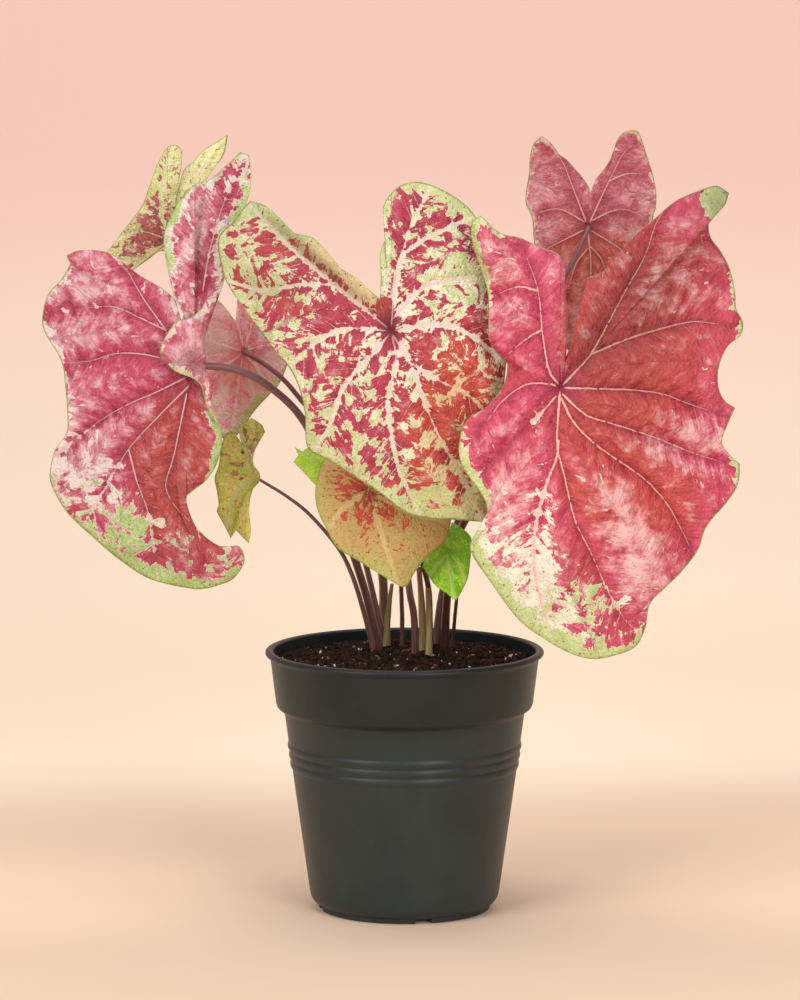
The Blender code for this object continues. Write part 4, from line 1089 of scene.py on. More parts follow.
class PlainFinishes:
    """The finishes of the pot, potting mix, stalks and sheaths."""

    @staticmethod
    def plastic() -> bpy.types.Material:
        """Charcoal moulded plastic: satin, faintly mottled, with pale dust streaks that fade out towards
        the foot, and a brighter body under a dimmer collar as painted highlight and painted shade.
        """
        graph = Graph("moulded plastic")
        place = graph.place()
        cloud = graph.noise(place, 22.0, 4.0, 0.6)
        grain = graph.noise(place, 900.0, 2.0, 0.5)
        streak = graph.noise(graph.scaled(place, (60.0, 60.0, 9.0)), 1.0, 4.0, 0.6)
        height = graph.parts(place)[2]
        # Painted light: the body below the collar takes a brighter copy of the charcoal as a painted
        # highlight, and the collar a dimmer copy as painted shade
        collar = graph.mix(cloud.within(0.35, 0.7), rgb(29, 35, 35), rgb(37, 43, 42))
        body = graph.mix(cloud.within(0.35, 0.7), rgb(40, 47, 46), rgb(47, 54, 52))
        shade = graph.mix(height.within(COLLAR_FOOT_HEIGHT, COLLAR_FOOT_HEIGHT - 0.012), collar, body)
        dust = (streak * 0.6 + grain * 0.4).within(0.58, 0.75) * height.within(0.0, 0.12) * 0.18
        shade = graph.mix(dust, shade, rgb(96, 90, 82))
        graph.set(Base_Color=shade, Roughness=0.38 + (cloud - 0.5) * 0.14 + grain * 0.06,
                  Specular_IOR_Level=0.26)
        graph.bump(grain * 0.6 + cloud * 0.4, 0.00006, 0.5)
        return graph.material

    @staticmethod
    def mix(name: str, dark: Colour, light: Colour, rough: float) -> bpy.types.Material:
        """A crumbly earth or bark finish.

        Args:
            name: the material's name.
            dark: its dark colour.
            light: its light colour.
            rough: its roughness.

        Returns:
            The material.
        """
        graph = Graph(name)
        place = graph.place()
        cloud = graph.noise(place, 160.0, 5.0, 0.65)
        grain = graph.noise(place, 1500.0, 3.0, 0.6)
        shade = graph.mix((cloud * 0.6 + grain * 0.4).within(0.38, 0.66), dark, light)
        graph.set(Base_Color=shade, Roughness=rough + (grain - 0.5) * 0.2, Specular_IOR_Level=0.15)
        graph.bump(grain * 0.5 + cloud * 0.5, 0.0008, 0.9)
        return graph.material

    @staticmethod
    def stalk(name: str, foot: Colour, middle: Colour, tip: Colour) -> bpy.types.Material:
        """A glossy stalk, streaked along its length.

        Args:
            name: the material's name.
            foot: the colour at the soil.
            middle: the colour half way.
            tip: the colour under the blade.

        Returns:
            The material.
        """
        graph = Graph(name)
        whole, _, _, along = graph.attribute("run")
        streak = graph.noise(graph.scaled(whole, (2.2, 2.2, 9.0)), 1.0, 4.0, 0.6, 0.2)
        fleck = graph.noise(graph.scaled(whole, (6.0, 6.0, 60.0)), 1.0, 3.0, 0.6)
        low = graph.mix(along.within(0.05, 0.5), foot, middle)
        shade = graph.mix(along.within(0.6, 1.0), low, tip)
        shade = graph.mix(streak.within(0.4, 0.68) * 0.55, shade, rgb(150, 104, 92))
        shade = graph.mix(fleck.within(0.5, 0.36) * 0.6, shade, rgb(66, 30, 34))
        graph.set(Base_Color=shade, Roughness=0.34 + (streak - 0.5) * 0.3)
        graph.bump(streak, 0.0003, 0.5)
        return graph.material

    @staticmethod
    def sheath() -> bpy.types.Material:
        """A papery sheath, brown and olive with lengthwise fibres."""
        graph = Graph("papery sheath")
        whole, _, _, along = graph.attribute("run")
        fibre = graph.noise(graph.scaled(whole, (7.0, 7.0, 2.0)), 1.0, 4.0, 0.6)
        shade = graph.mix(fibre.within(0.35, 0.65), rgb(122, 94, 62), rgb(176, 160, 104))
        shade = graph.mix(along.within(0.5, 1.0) * 0.6, shade, rgb(120, 66, 56))
        graph.set(Base_Color=shade, Roughness=0.55 + (fibre - 0.5) * 0.2)
        graph.bump(fibre, 0.0004, 0.7)
        return graph.material


def between(a: Vector, b: Vector, c: Vector, d: Vector, samples: int) -> list[Vector]:
    """Points on a smooth curve from b towards c, with c left out.

    Args:
        a: the place before b.
        b: where the stretch starts.
        c: where it ends.
        d: the place after c.
        samples: how many points.

    Returns:
        The points. Rows of numbers work as well as vectors.
    """
    found = []
    for k in range(samples):
        t = k / samples
        square, cube = (2 * a - 5 * b + 4 * c - d) * t**2, (3 * b - a - 3 * c + d) * t**3
        found.append(0.5 * (2 * b + (c - a) * t + square + cube))
    return found


def spline(points: list[Vector], samples: int = 1, spacing: float = 0.0) -> list[Vector]:
    """Points along a smooth curve through the given ones.

    Args:
        points: the places to pass through.
        samples: points for each stretch.
        spacing: how far apart they are instead, if over 0.

    Returns:
        The curve's points.
    """
    ends = [2 * points[0] - points[1], *points, 2 * points[-1] - points[-2]]
    found = []
    for a, b, c, d in zip(ends, ends[1:], ends[2:], ends[3:]):
        count = max(1, round((c - b).length / spacing)) if spacing else samples
        found += between(a, b, c, d, count)
    return [*found, points[-1]]


def ring_faces(rings: int, sides: int, base: int = 0) -> list[tuple[int, ...]]:
    """The four-sided faces of a tube whose points run round ring after ring from number base."""
    corners = [(base + i * sides + k, base + i * sides + (k + 1) % sides)
               for i in range(rings - 1) for k in range(sides)]
    return [(a, b, b + sides, a + sides) for a, b in corners]


def linked(name: str, data: bpy.types.ID) -> bpy.types.Object:
    """A new object in the scene."""
    made = bpy.data.objects.new(name, data)
    bpy.context.scene.collection.objects.link(made)
    return made


def meshed(name: str, points: list, faces: list, marks: dict[str, np.ndarray]) -> bpy.types.Object:
    """A smooth mesh object with vector attributes for its finish to read.

    Args:
        name: its name.
        points: its places.
        faces: the numbers of each face's points.
        marks: three numbers a point for each attribute.

    Returns:
        The object.
    """
    data = bpy.data.meshes.new(name)
    data.from_pydata(points, [], faces)
    for label, rows in marks.items():
        layer = data.attributes.new(label, "FLOAT_VECTOR", "POINT")
        layer.data.foreach_set("vector", np.asarray(rows, float).ravel())
    data.shade_smooth()
    return linked(name, data)


class Ripple:
    """A smooth seeded wave field over a leaf's sheet."""

    def __init__(self, seed: int, wavelength: float, count: int = 7) -> None:
        """Draws the waves.

        Args:
            seed: the draw's seed.
            wavelength: their usual length in steps.
            count: how many.
        """
        draw = np.random.default_rng(seed)
        turns = draw.uniform(0, math.tau, count)
        lengths = wavelength * draw.uniform(0.7, 1.5, count)
        self.waves = np.stack([np.cos(turns) / lengths, np.sin(turns) / lengths]) * math.tau
        self.phases = draw.uniform(0, math.tau, count)

    def at(self, across: np.ndarray, up: np.ndarray) -> np.ndarray:
        """The field at each place, about -1 to 1."""
        angles = across[..., None] * self.waves[0] + up[..., None] * self.waves[1] + self.phases
        return np.sin(angles).sum(-1) / math.sqrt(2 * len(self.phases))


@dataclass(frozen=True)
class RibStyle:
    """How ribs along veins are built. Width is half a rib's width in steps, and rise is in metres."""

    width: float
    rise: float
    sides: int
    show: float


@dataclass
class RibMesh:
    """The ribs so far. A row is (across, up, rib, under) for one point."""

    points: list[tuple[float, ...]] = field(default_factory=list)
    faces: list[tuple[int, ...]] = field(default_factory=list)
    rows: list[tuple[float, ...]] = field(default_factory=list)


@dataclass
class Blade:
    """One leaf blade: a thin closed sheet with waves, creases along its veins and raised ribs."""

    leaf: Leaf
    paint: LeafPaint
    thickness: float = 0.0006
    spacing: float = 2.6
    rings: int = 44
    corner: float = math.radians(52)
    puff: float = 2.2
    wave: float = 1.6
    frill: float = 1.5
    rib_width: float = 1.25
    rib_rise: float = 0.00036
    side_every: float = 17.0
    side_reach: float = 46.0
    flip_under: bool = False
    columns: np.ndarray = field(init=False)

    def __post_init__(self) -> None:
        """Works out the outline, the veins and the grid of places."""
        self.step = self.leaf.reach / max(math.hypot(*point[:2]) for point in self.leaf.edge)
        self.columns = self.dense_edge()
        self.shares = np.linspace(0, 1, self.rings + 1)[1:] ** 0.92
        drawn = [spline([Vector((*point, 0)) for point in line], spacing=MAIN_SPACING)
                 for line in VEINS[self.leaf.name]]
        self.main = [np.array([tuple(place[:2]) for place in line]) for line in drawn]
        self.sides = self.side_veins()
        seed = sum(map(ord, self.leaf.name))
        self.ripples = [(Ripple(seed + i, wavelength), size) for i, (wavelength, size) in enumerate(WAVES)]
        self.flat, self.mid = self.grid()

    def dense_edge(self) -> np.ndarray:
        """The outline as a closed smooth curve through its points, with its corners kept.

        Returns:
            One row of six numbers for each place, as in the leaf's edge.
        """
        points = np.array([(*point, 0, 0, 0, 0)[:6] for point in self.leaf.edge], float)
        count = len(points)
        before, after = np.roll(points, 1, 0), np.roll(points, -1, 0)
        run_in, run_out = (points - before)[:, :2], (after - points)[:, :2]
        turn = np.arctan2(
            run_in[:, 0] * run_out[:, 1] - run_in[:, 1] * run_out[:, 0], (run_in * run_out).sum(1)
        )
        sharp = np.abs(turn) > self.corner
        found = []
        for i in range(count):
            b, c = points[i], points[(i + 1) % count]
            a = 2 * b - c if sharp[i] else points[i - 1]
            d = 2 * c - b if sharp[(i + 1) % count] else points[(i + 2) % count]
            samples = max(1, round(float(np.hypot(*(c - b)[:2])) / self.spacing))
            found += between(a, b, c, d, samples)
        return np.array(found)

    def inside(self, place: np.ndarray) -> bool:
        """Whether a place lies inside the drawn outline."""
        x, y = self.columns[:, 0], self.columns[:, 1]
        x2, y2 = np.roll(x, -1), np.roll(y, -1)
        spans = (y > place[1]) != (y2 > place[1])
        rise = np.where(y2 == y, 1.0, y2 - y)
        return bool((spans & (place[0] < x + (place[1] - y) * (x2 - x) / rise)).sum() % 2)

    def side_veins(self) -> list[np.ndarray]:
        """Finer veins that leave the main ones on both sides and curve out until they meet something."""
        draw = np.random.default_rng(len(self.main) + len(self.columns))
        taken = [line[2:] for line in self.main]
        found = []
        for line in self.main:
            lengths = np.r_[0, np.cumsum(np.hypot(*np.diff(line, axis=0).T))]
            starts = np.arange(self.side_every * 0.7, lengths[-1], self.side_every * 0.5)
            for k, start in enumerate(starts):
                i = min(int(np.searchsorted(lengths, start)), len(line) - 1)
                heading = line[i] - line[i - 1]
                hand = 1 if k % 2 else -1
                angle = math.atan2(heading[1], heading[0]) + hand * math.radians(draw.uniform(46, 62))
                curve = -hand * math.radians(draw.uniform(0.6, 2.4))
                place, path = line[i].copy(), [line[i].copy()]
                longest = self.side_reach * draw.uniform(0.6, 1.1)
                while len(path) * SIDE_SPACING < longest:
                    place = place + SIDE_SPACING * np.array((math.cos(angle), math.sin(angle)))
                    angle += curve
                    near = min(np.hypot(*(other - place).T).min() for other in taken if len(other))
                    if not self.inside(place) or (len(path) > 2 and near < SIDE_APART):
                        break
                    path.append(place.copy())
                if len(path) > 3:
                    found.append(np.array(path))
                    taken.append(np.array(path[1:]))
        return found

    def run_on(self, line: np.ndarray) -> np.ndarray:
        """A vein drawn on past its end, in its last direction, as far as the margin."""
        ahead = line[-1] - line[-4]
        ahead = SIDE_SPACING * ahead / np.hypot(*ahead)
        found = list(line)
        while len(found) < len(line) + RUN_ON_POINTS and self.inside(found[-1]):
            found.append(found[-1] + ahead)
        return np.array(found)

    def distance(self, places: np.ndarray, lines: list[np.ndarray]) -> tuple[np.ndarray, np.ndarray]:
        """How far each place is from the nearest of some lines.

        Args:
            places: drawn places.
            lines: drawn lines.

        Returns:
            Steps from each place to its nearest line, and from the joint to the nearest point on it.
        """
        flat = places.reshape(-1, 2)
        best, along = np.full(len(flat), FAR), np.hypot(*flat.T)
        for line in lines:
            low, high = line.min(0) - FAR, line.max(0) + FAR
            some = np.flatnonzero(((flat >= low) & (flat <= high)).all(1))
            near = flat[some]
            for a, b in zip(line, line[1:]):
                run = b - a
                share = np.clip(((near - a) @ run) / max(float(run @ run), 1e-9), 0, 1)
                foot = a + share[:, None] * run
                away = np.hypot(*(near - foot).T)
                closer = away < best[some]
                best[some] = np.where(closer, away, best[some])
                along[some] = np.where(closer, np.hypot(*foot.T), along[some])
        return best.reshape(places.shape[:-1]), along.reshape(places.shape[:-1])

    def grid(self) -> tuple[np.ndarray, np.ndarray]:
        """The sheet's places.

        Returns:
            The drawn places in steps and the places in metres, both as [column, ring].
        """
        across, up, curl, bend_across, bend_up, bend_toward = self.columns.T[..., None]
        share = self.shares[None, :]
        bow = 4 * share * (1 - share)
        flat = np.stack([across * share + bend_across * bow, up * share + bend_up * bow], -1)
        curl = curl - self.leaf.arch * (across**2 + up**2) * self.step / self.leaf.reach
        lean = self.leaf.lean
        toward = (lean[0] * across + lean[1] * up) * share + curl * share**2 + bend_toward * bow
        return flat, self.placed(flat, toward + self.relief(flat, share))

    def relief(self, flat: np.ndarray, share: np.ndarray) -> np.ndarray:
        """Steps that the sheet rises between its veins and in its waves."""
        self.away, self.along = self.distance(flat, [self.run_on(line) for line in self.main])
        away_side, _ = self.distance(flat, self.sides)
        calm = np.clip(1.15 - share**6, 0, 1) * np.clip(share * 5, 0, 1)
        wide, sharp = np.exp(-((self.away / CREASE_REACH) ** 2)), np.exp(-self.away / CREASE_FLOOR)
        rise = self.puff * (1 - 0.65 * wide - 0.35 * sharp)
        rise += SIDE_CREASE_SHARE * self.puff * (1 - np.exp(-((away_side / SIDE_CREASE_REACH) ** 2)))
        waves = sum(size * ripple.at(flat[..., 0], flat[..., 1]) for ripple, size in self.ripples)
        frill = self.frill * self.ripples[1][0].at(flat[..., 0], flat[..., 1]) * share**5
        side = -1 if self.flip_under else 1
        return side * rise * calm + self.wave * waves * np.clip(share * 1.6, 0, 1) + frill

    def placed(self, flat: np.ndarray, toward: np.ndarray) -> np.ndarray:
        """Drawn places moved towards the viewpoint, in metres."""
        place = np.array(self.leaf.joint) + self.step * (flat[..., :1] * ACROSS + flat[..., 1:] * UPWARD)
        sight = VIEWPOINT - place
        sight /= np.linalg.norm(sight, axis=-1, keepdims=True)
        return place + self.step * toward[..., None] * sight

    def normals(self) -> tuple[np.ndarray, np.ndarray]:
        """The sheet's normal at each grid place and at the joint, facing the viewpoint where it is flat."""
        joint = np.broadcast_to(np.array(self.leaf.joint), (len(self.mid), 1, 3))
        whole = np.concatenate([joint, self.mid], 1)
        out = np.gradient(whole, axis=1)[:, 1:]
        aside = (np.roll(self.mid, -1, 0) - np.roll(self.mid, 1, 0)) / 2
        normal = np.cross(aside, out)
        normal /= np.maximum(np.linalg.norm(normal, axis=-1, keepdims=True), 1e-12)
        centre = normal[:, 0].mean(0)
        return normal, centre / np.linalg.norm(centre)

    def build(self) -> bpy.types.Object:
        """The blade's mesh object with its ribs, markings and finish."""
        normal, centre = self.normals()
        count, rings = self.mid.shape[:2]
        if (centre @ (VIEWPOINT - np.array(self.leaf.joint))) < 0:
            normal, centre = -normal, -centre
        thin = self.thickness * (1 - 0.45 * self.shares[None, :, None] ** 3) / 2
        front, back = self.mid + normal * thin, self.mid - normal * thin
        joint = np.array(self.leaf.joint)
        points = np.concatenate([
            front.reshape(-1, 3), back.reshape(-1, 3),
            [joint + centre * self.thickness / 2], [joint - centre * self.thickness / 2],
        ])
        index = np.arange(count * rings).reshape(count, rings)
        nxt, under = np.roll(index, -1, 0), count * rings
        quads = np.stack([index[:, :-1], nxt[:, :-1], nxt[:, 1:], index[:, 1:]], -1).reshape(-1, 4)
        rim = np.stack([index[:, -1], nxt[:, -1], nxt[:, -1] + under, index[:, -1] + under], -1)
        middle = np.stack([np.full(count, under), nxt[:, 0], index[:, 0]], -1)
        fans = middle + [under, 0, 0], middle[:, [0, 2, 1]] + [under + 1, under, under]
        faces = [*quads.tolist(), *(quads[:, ::-1] + under).tolist(), *rim.tolist()]
        faces += [*fans[0].tolist(), *fans[1].tolist()]
        made = meshed(f"{self.leaf.name}_blade", points.tolist(), faces, self.sheet_marks())
        places = [*self.mid.reshape(-1, 3).tolist(), joint.tolist()]
        self.join_ribs(made, BVHTree.FromPolygons(places, [*quads.tolist(), *middle.tolist()]))
        work = bmesh.new()
        work.from_mesh(made.data)
        bmesh.ops.recalc_face_normals(work, faces=work.faces)
        work.to_mesh(made.data)
        work.free()
        made.data.materials.append(LeafMaterial(self.leaf.name, self.paint).graph.material)
        return made

    def tones(self, flat: np.ndarray, rim: np.ndarray) -> np.ndarray:
        """The pink, green, pale, warm and dim shares at drawn places, dim being painted shade and a duskier
        tone.

        Args:
            flat: the drawn places.
            rim: millimetres from each to the leaf's margin.

        Returns:
            Five shares for each place, in that order.
        """
        paint = self.paint
        tone = np.zeros((*flat.shape[:-1], 6))
        tone[:] = (paint.cover, paint.greenness, paint.paleness, paint.warmth, paint.dusk_and_shade_base, paint.edging)
        for splash in paint.splashes:
            weight = splash.weight(flat[..., 0], flat[..., 1])
            added = (splash.pink, splash.green, splash.pale, splash.warm, splash.dusk_and_shade, splash.edge)
            tone += weight[..., None] * np.array(added)
        band = np.clip(tone[..., 5], 0, 1.3) * np.exp(-((rim / paint.edge_width) ** 2))
        tone[..., 0] -= EDGE_LESS_PINK * band
        tone[..., 1] += EDGE_MORE_GREEN * band
        return tone[..., :5]

    def margin(self) -> np.ndarray:
        """Millimetres from each grid place to the nearest stretch of its own margin."""
        best = np.full(self.mid.shape[:2], np.inf)
        edge = self.mid[:, -1]
        for shift in range(-MARGIN_COLUMNS, MARGIN_COLUMNS + 1, 2):
            away = np.linalg.norm(self.mid - np.roll(edge, shift, 0)[:, None], axis=-1) * MM
            best = np.minimum(best, away)
        return best

    def marks(self, flat: np.ndarray, rim: np.ndarray, along: np.ndarray, away: np.ndarray,
              rib: np.ndarray, under: np.ndarray) -> dict[str, np.ndarray]:
        """What the leaf's finish reads, three numbers for each place under each attribute's name.

        Args:
            flat: the drawn places.
            rim: millimetres from each to the leaf's margin.
            along: millimetres from the joint along the nearest vein.
            away: millimetres from that vein.
            rib: how clearly a rib's colour shows.
            under: 1 on the underside and 0 on the upper side.

        Returns:
            The attributes.
        """
        across, up = flat.T
        zero = np.zeros(len(flat))
        tone = self.tones(flat, rim)
        turn, radius = np.arctan2(across, 0.0 - up), np.hypot(across, up) * self.step * MM
        return {
            "sheet": np.c_[flat * self.step * MM, zero], "flow": np.c_[turn, radius, tone[:, 4]],
            "tone": tone[:, :3], "form": np.c_[tone[:, 3], rim, zero], "fold": np.c_[along, away, zero],
            "vein": np.c_[rib, zero, under],
        }

    def sheet_marks(self) -> dict[str, np.ndarray]:
        """The attributes of the sheet's two faces and of its two points at the joint."""
        ends = np.zeros(2)
        along, away = (np.r_[rows, rows, ends] * self.step * MM
                       for rows in (self.along.ravel(), self.away.ravel()))
        rim = self.margin().ravel()
        side = np.full(len(rim), float(self.flip_under))
        flat = self.flat.reshape(-1, 2)
        return self.marks(
            np.r_[flat, flat, np.zeros((2, 2))], np.r_[rim, rim, ends + FAR_MM], along, away,
            np.zeros(len(along)), np.r_[side, 1 - side, side[0], 1 - side[0]],
        )

    def join_ribs(self, made: bpy.types.Object, sheet: BVHTree) -> None:
        """Adds a raised rib along each vein to the blade's mesh.

        Args:
            made: the blade.
            sheet: the sheet's middle surface.
        """
        mesh = RibMesh()
        main = RibStyle(self.rib_width, self.rib_rise, 8, 1.0)
        side = RibStyle(SIDE_RIB_WIDTH, self.rib_rise * SIDE_RIB_RISE, 6, SIDE_RIB_SHOW)
        for line, style in [*((line, main) for line in self.main), *((line, side) for line in self.sides)]:
            self.add_rib(line, sheet, style, mesh)
        rows = np.array(mesh.rows)
        zero = np.zeros(len(rows))
        radius = np.hypot(*rows[:, :2].T) * self.step * MM
        marks = self.marks(rows[:, :2], zero + FAR_MM, radius, zero, rows[:, 2], rows[:, 3])
        ribs = meshed("ribs", mesh.points, mesh.faces, marks)
        with bpy.context.temp_override(active_object=made, selected_editable_objects=[made, ribs]):
            bpy.ops.object.join()

    def add_rib(self, line: np.ndarray, sheet: BVHTree, style: RibStyle, mesh: RibMesh) -> None:
        """Adds one tapering rib that lies along the sheet.

        Args:
            line: the vein's drawn places.
            sheet: the sheet's middle surface.
            style: how the rib is built.
            mesh: the ribs so far, added to.
        """
        runs: list[list] = [[]]
        for flat in line:
            target = self.placed(flat[None], np.zeros(1))[0]
            sight = Vector(target - VIEWPOINT).normalized()
            hit, normal, _, _ = sheet.ray_cast(Vector(VIEWPOINT), sight)
            apart = hit is None or (runs[-1] and (hit - runs[-1][-1][1]).length > RIB_BREAK * self.step)
            if apart and runs[-1]:
                runs.append([])
            if hit is not None:
                normal = normal if normal.dot(sight) < 0 else -normal
                runs[-1].append((flat, hit, normal))
        done = 0
        for found in runs:
            if len(found) > 3:
                shares = [(done + i) / (len(line) - 1) for i in range(len(found))]
                self.add_run(found, shares, style, mesh)
            done += len(found)

    def add_run(self, found: list, shares: list[float], style: RibStyle, mesh: RibMesh) -> None:
        """Adds one unbroken stretch of a rib.

        Args:
            found: its drawn places, points on the sheet and normals.
            shares: how far along the vein each is.
            style: how the rib is built.
            mesh: the ribs so far, added to.
        """
        base, sides = len(mesh.points), style.sides
        for i, (flat, hit, normal) in enumerate(found):
            run = found[min(i + 1, len(found) - 1)][1] - found[max(i - 1, 0)][1]
            wide = run.cross(normal).normalized()
            taper = (1 - shares[i]) ** 0.8 * 0.8 + 0.2
            half = self.step * style.width * taper * min(1.0, 0.55 + i * 0.25)
            high = self.thickness / 2 * 0.9 + style.rise * taper
            end = 0.0 if i == len(found) - 1 else 1.0
            for k in range(sides):
                angle = math.tau * k / sides
                lift = high * math.sin(angle) * (0.4 + 0.6 * end)
                mesh.points.append(tuple(hit + wide * (half * end * math.cos(angle)) + normal * lift))
                under = 1.0 if self.flip_under else float(math.sin(angle) < 0)
                mesh.rows.append((flat[0], flat[1], style.show * (0.45 + 0.55 * taper), under))
        mesh.faces += ring_faces(len(found), sides, base)
        last = base + (len(found) - 1) * sides
        mesh.faces.append(tuple(range(base, base + sides)))
        mesh.faces.append(tuple(range(last + sides - 1, last - 1, -1)))


@dataclass
class Tube:
    """A closed rod along a route whose section can be fluted."""

    name: str
    route: list[Vector]
    radii: list[float]
    sides: int = 20
    flutes: int = 5
    flute: float = 0.03
    swelling: float = 0.02
    swellings: float = 900

    def build(self) -> bpy.types.Object:
        """The rod's mesh object, with its run stored for the finish."""
        points, run = [], []
        side = Vector((1, 0, 0))
        lengths = [0.0]
        for a, b in zip(self.route, self.route[1:]):
            lengths.append(lengths[-1] + (b - a).length)
        for i, (place, radius) in enumerate(zip(self.route, self.radii)):
            ahead = self.route[min(i + 1, len(self.route) - 1)] - self.route[max(i - 1, 0)]
            ahead.normalize()
            side = (side - ahead * side.dot(ahead)).normalized()
            other = ahead.cross(side)
            for k in range(self.sides):
                angle = math.tau * k / self.sides
                swell = 1 + self.flute * math.sin(self.flutes * angle)
                swell += self.swelling * math.sin(lengths[i] * self.swellings + 2 * angle)
                offset = side * math.cos(angle) + other * math.sin(angle)
                points.append(place + offset * radius * swell)
                run.append((math.cos(angle), math.sin(angle), lengths[i] / lengths[-1]))
        last = (len(self.route) - 1) * self.sides
        faces = ring_faces(len(self.route), self.sides)
        faces += [tuple(range(self.sides - 1, -1, -1)), tuple(range(last, last + self.sides))]
        return meshed(self.name, points, faces, {"run": run})


@dataclass
class Stalks:
    """The leaf stalks, from the tuber's crown up to the blades, and the sheaths among them."""

    samples: int = 9
    sheath_columns: int = 13
    tip_sink: float = 0.0002

    def line(self, leaf: Leaf) -> tuple[list[Vector], list[float]]:
        """A stalk's points and radii.

        Args:
            leaf: the leaf it carries.

        Returns:
            The points and the radius at each.
        """
        joint = Vector(leaf.joint)
        toward = (Vector(VIEWPOINT) - joint).normalized()
        normal = (toward - leaf.lean[0] * Vector(ACROSS) - leaf.lean[1] * Vector(UPWARD)).normalized()
        normal *= 1 if leaf.stalk_in_front else -1
        soil_point = Vector(leaf.route[0])
        crown = Vector((*CROWN, soil_point.z))
        foot = crown + ROOT_PULL * (soil_point - crown)
        foot.z = TUBER_TOP + GAP
        upright = foot + Vector((0, 0, ROOT_STRAIGHT))
        through = [upright, *map(Vector, leaf.route), joint + normal * STALK_STRAIGHT]
        route = [foot, *spline(through, self.samples), joint + normal * self.tip_sink]
        base, tip = leaf.stalk
        last = len(route) - 1
        return route, [base + (tip - base) * (i / last) ** STALK_TAPER for i in range(len(route))]

    def build(self) -> dict[str, bpy.types.Object]:
        """All stalks and sheaths by the node that each replaces."""
        dress = PlainFinishes.stalk
        purple = dress("stalk purple", rgb(92, 58, 54), rgb(96, 58, 62), rgb(134, 82, 90))
        olive = dress("stalk olive", rgb(104, 80, 50), rgb(100, 72, 50), rgb(130, 120, 60))
        made = {}
        for leaf in LEAVES:
            route, radii = self.line(leaf)
            piece = Tube(leaf.name + "_stalk", route, radii).build()
            piece.data.materials.append(olive if leaf is BACK_LEFT else purple)
            made["petiole_" + leaf.name] = piece
        papery = PlainFinishes.sheath()
        for name in SHEATHS:
            made["sheath_" + name] = self.sheath(name, papery)
        return made

    def sheath(self, name: str, finish: bpy.types.Material) -> bpy.types.Object:
        """A narrow cupped strip that stands in the soil and tapers to its tip.

        Args:
            name: which sheath.
            finish: its material.

        Returns:
            The piece.
        """
        route, (foot_radius, tip_radius) = SHEATHS[name]
        points = [Vector(place) for place in route]
        points.insert(0, points[0] - Vector((0, 0, SHEATH_DEPTH)))
        line, columns = spline(points, self.samples), self.sheath_columns
        outer, inner, run = [], [], []
        for i, place in enumerate(line):
            share = i / (len(line) - 1)
            radius = foot_radius + (tip_radius - foot_radius) * share**SHEATH_TAPER
            for k in range(columns):
                angle = SHEATH_CUP * (k / (columns - 1) - 0.5)
                rim = 1 + SHEATH_FRAY * math.sin(share * SHEATH_WAVES + k)
                way = Vector((math.sin(angle), -math.cos(angle), 0))
                centre = place + Vector((0, radius, 0))
                outer.append(centre + way * (radius * rim + SHEATH_THICKNESS / 2))
                inner.append(centre + way * (radius * rim - SHEATH_THICKNESS / 2 * (1 - 0.7 * share)))
                run.append((math.sin(angle), k / columns, share))
        size, faces = len(outer), []
        for i in range(len(line) - 1):
            for k in range(columns - 1):
                a = i * columns + k
                faces.append((a, a + 1, a + 1 + columns, a + columns))
                faces.append((size + a, size + a + columns, size + a + 1 + columns, size + a + 1))
            for k in (0, columns - 1):
                a = i * columns + k
                quad = (a, a + columns, size + a + columns, size + a)
                faces.append(quad if k == 0 else quad[::-1])
        last = (len(line) - 1) * columns
        for k in range(columns - 1):
            faces.append((k, size + k, size + k + 1, k + 1))
            faces.append((last + k, last + k + 1, size + last + k + 1, size + last + k))
        made = meshed(name + "_sheath", [*outer, *inner], faces, {"run": [*run, *run]})
        made.data.materials.append(finish)
        return made


def turned(name: str, profile: Profile, steps: int, sharp: float = 40.0) -> bpy.types.Object:
    """A closed turned shape from (radius, height) points, up the inside and down the outside.

    Args:
        name: the object's name.
        profile: the section, with its first and last points on the axis.
        steps: columns round the axis.
        sharp: degrees over which an edge is shaded sharp.

    Returns:
        The object.
    """
    work = bmesh.new()
    rows = []
    for radius, height in profile:
        if radius < ON_AXIS:
            rows.append([work.verts.new((0, 0, height))] * steps)
            continue
        turns = [math.tau * k / steps for k in range(steps)]
        rows.append([work.verts.new((radius * math.cos(t), radius * math.sin(t), height)) for t in turns])
    for low, high in zip(rows, rows[1:]):
        for k in range(steps):
            n = (k + 1) % steps
            corners = list(dict.fromkeys((low[k], low[n], high[n], high[k])))
            if len(corners) > 2:
                work.faces.new(corners)
    bmesh.ops.recalc_face_normals(work, faces=work.faces)
    data = bpy.data.meshes.new(name)
    work.to_mesh(data)
    work.free()
    data.shade_smooth()
    data.set_sharp_from_angle(angle=math.radians(sharp))
    return linked(name, data)


def made_plain(made: bpy.types.Object) -> bpy.types.Object:
    """The object with its modifiers worked into its mesh."""
    bpy.context.view_layer.update()
    graph = bpy.context.evaluated_depsgraph_get()
    data = bpy.data.meshes.new_from_object(made.evaluated_get(graph))
    made.modifiers.clear()
    made.data = data
    return made


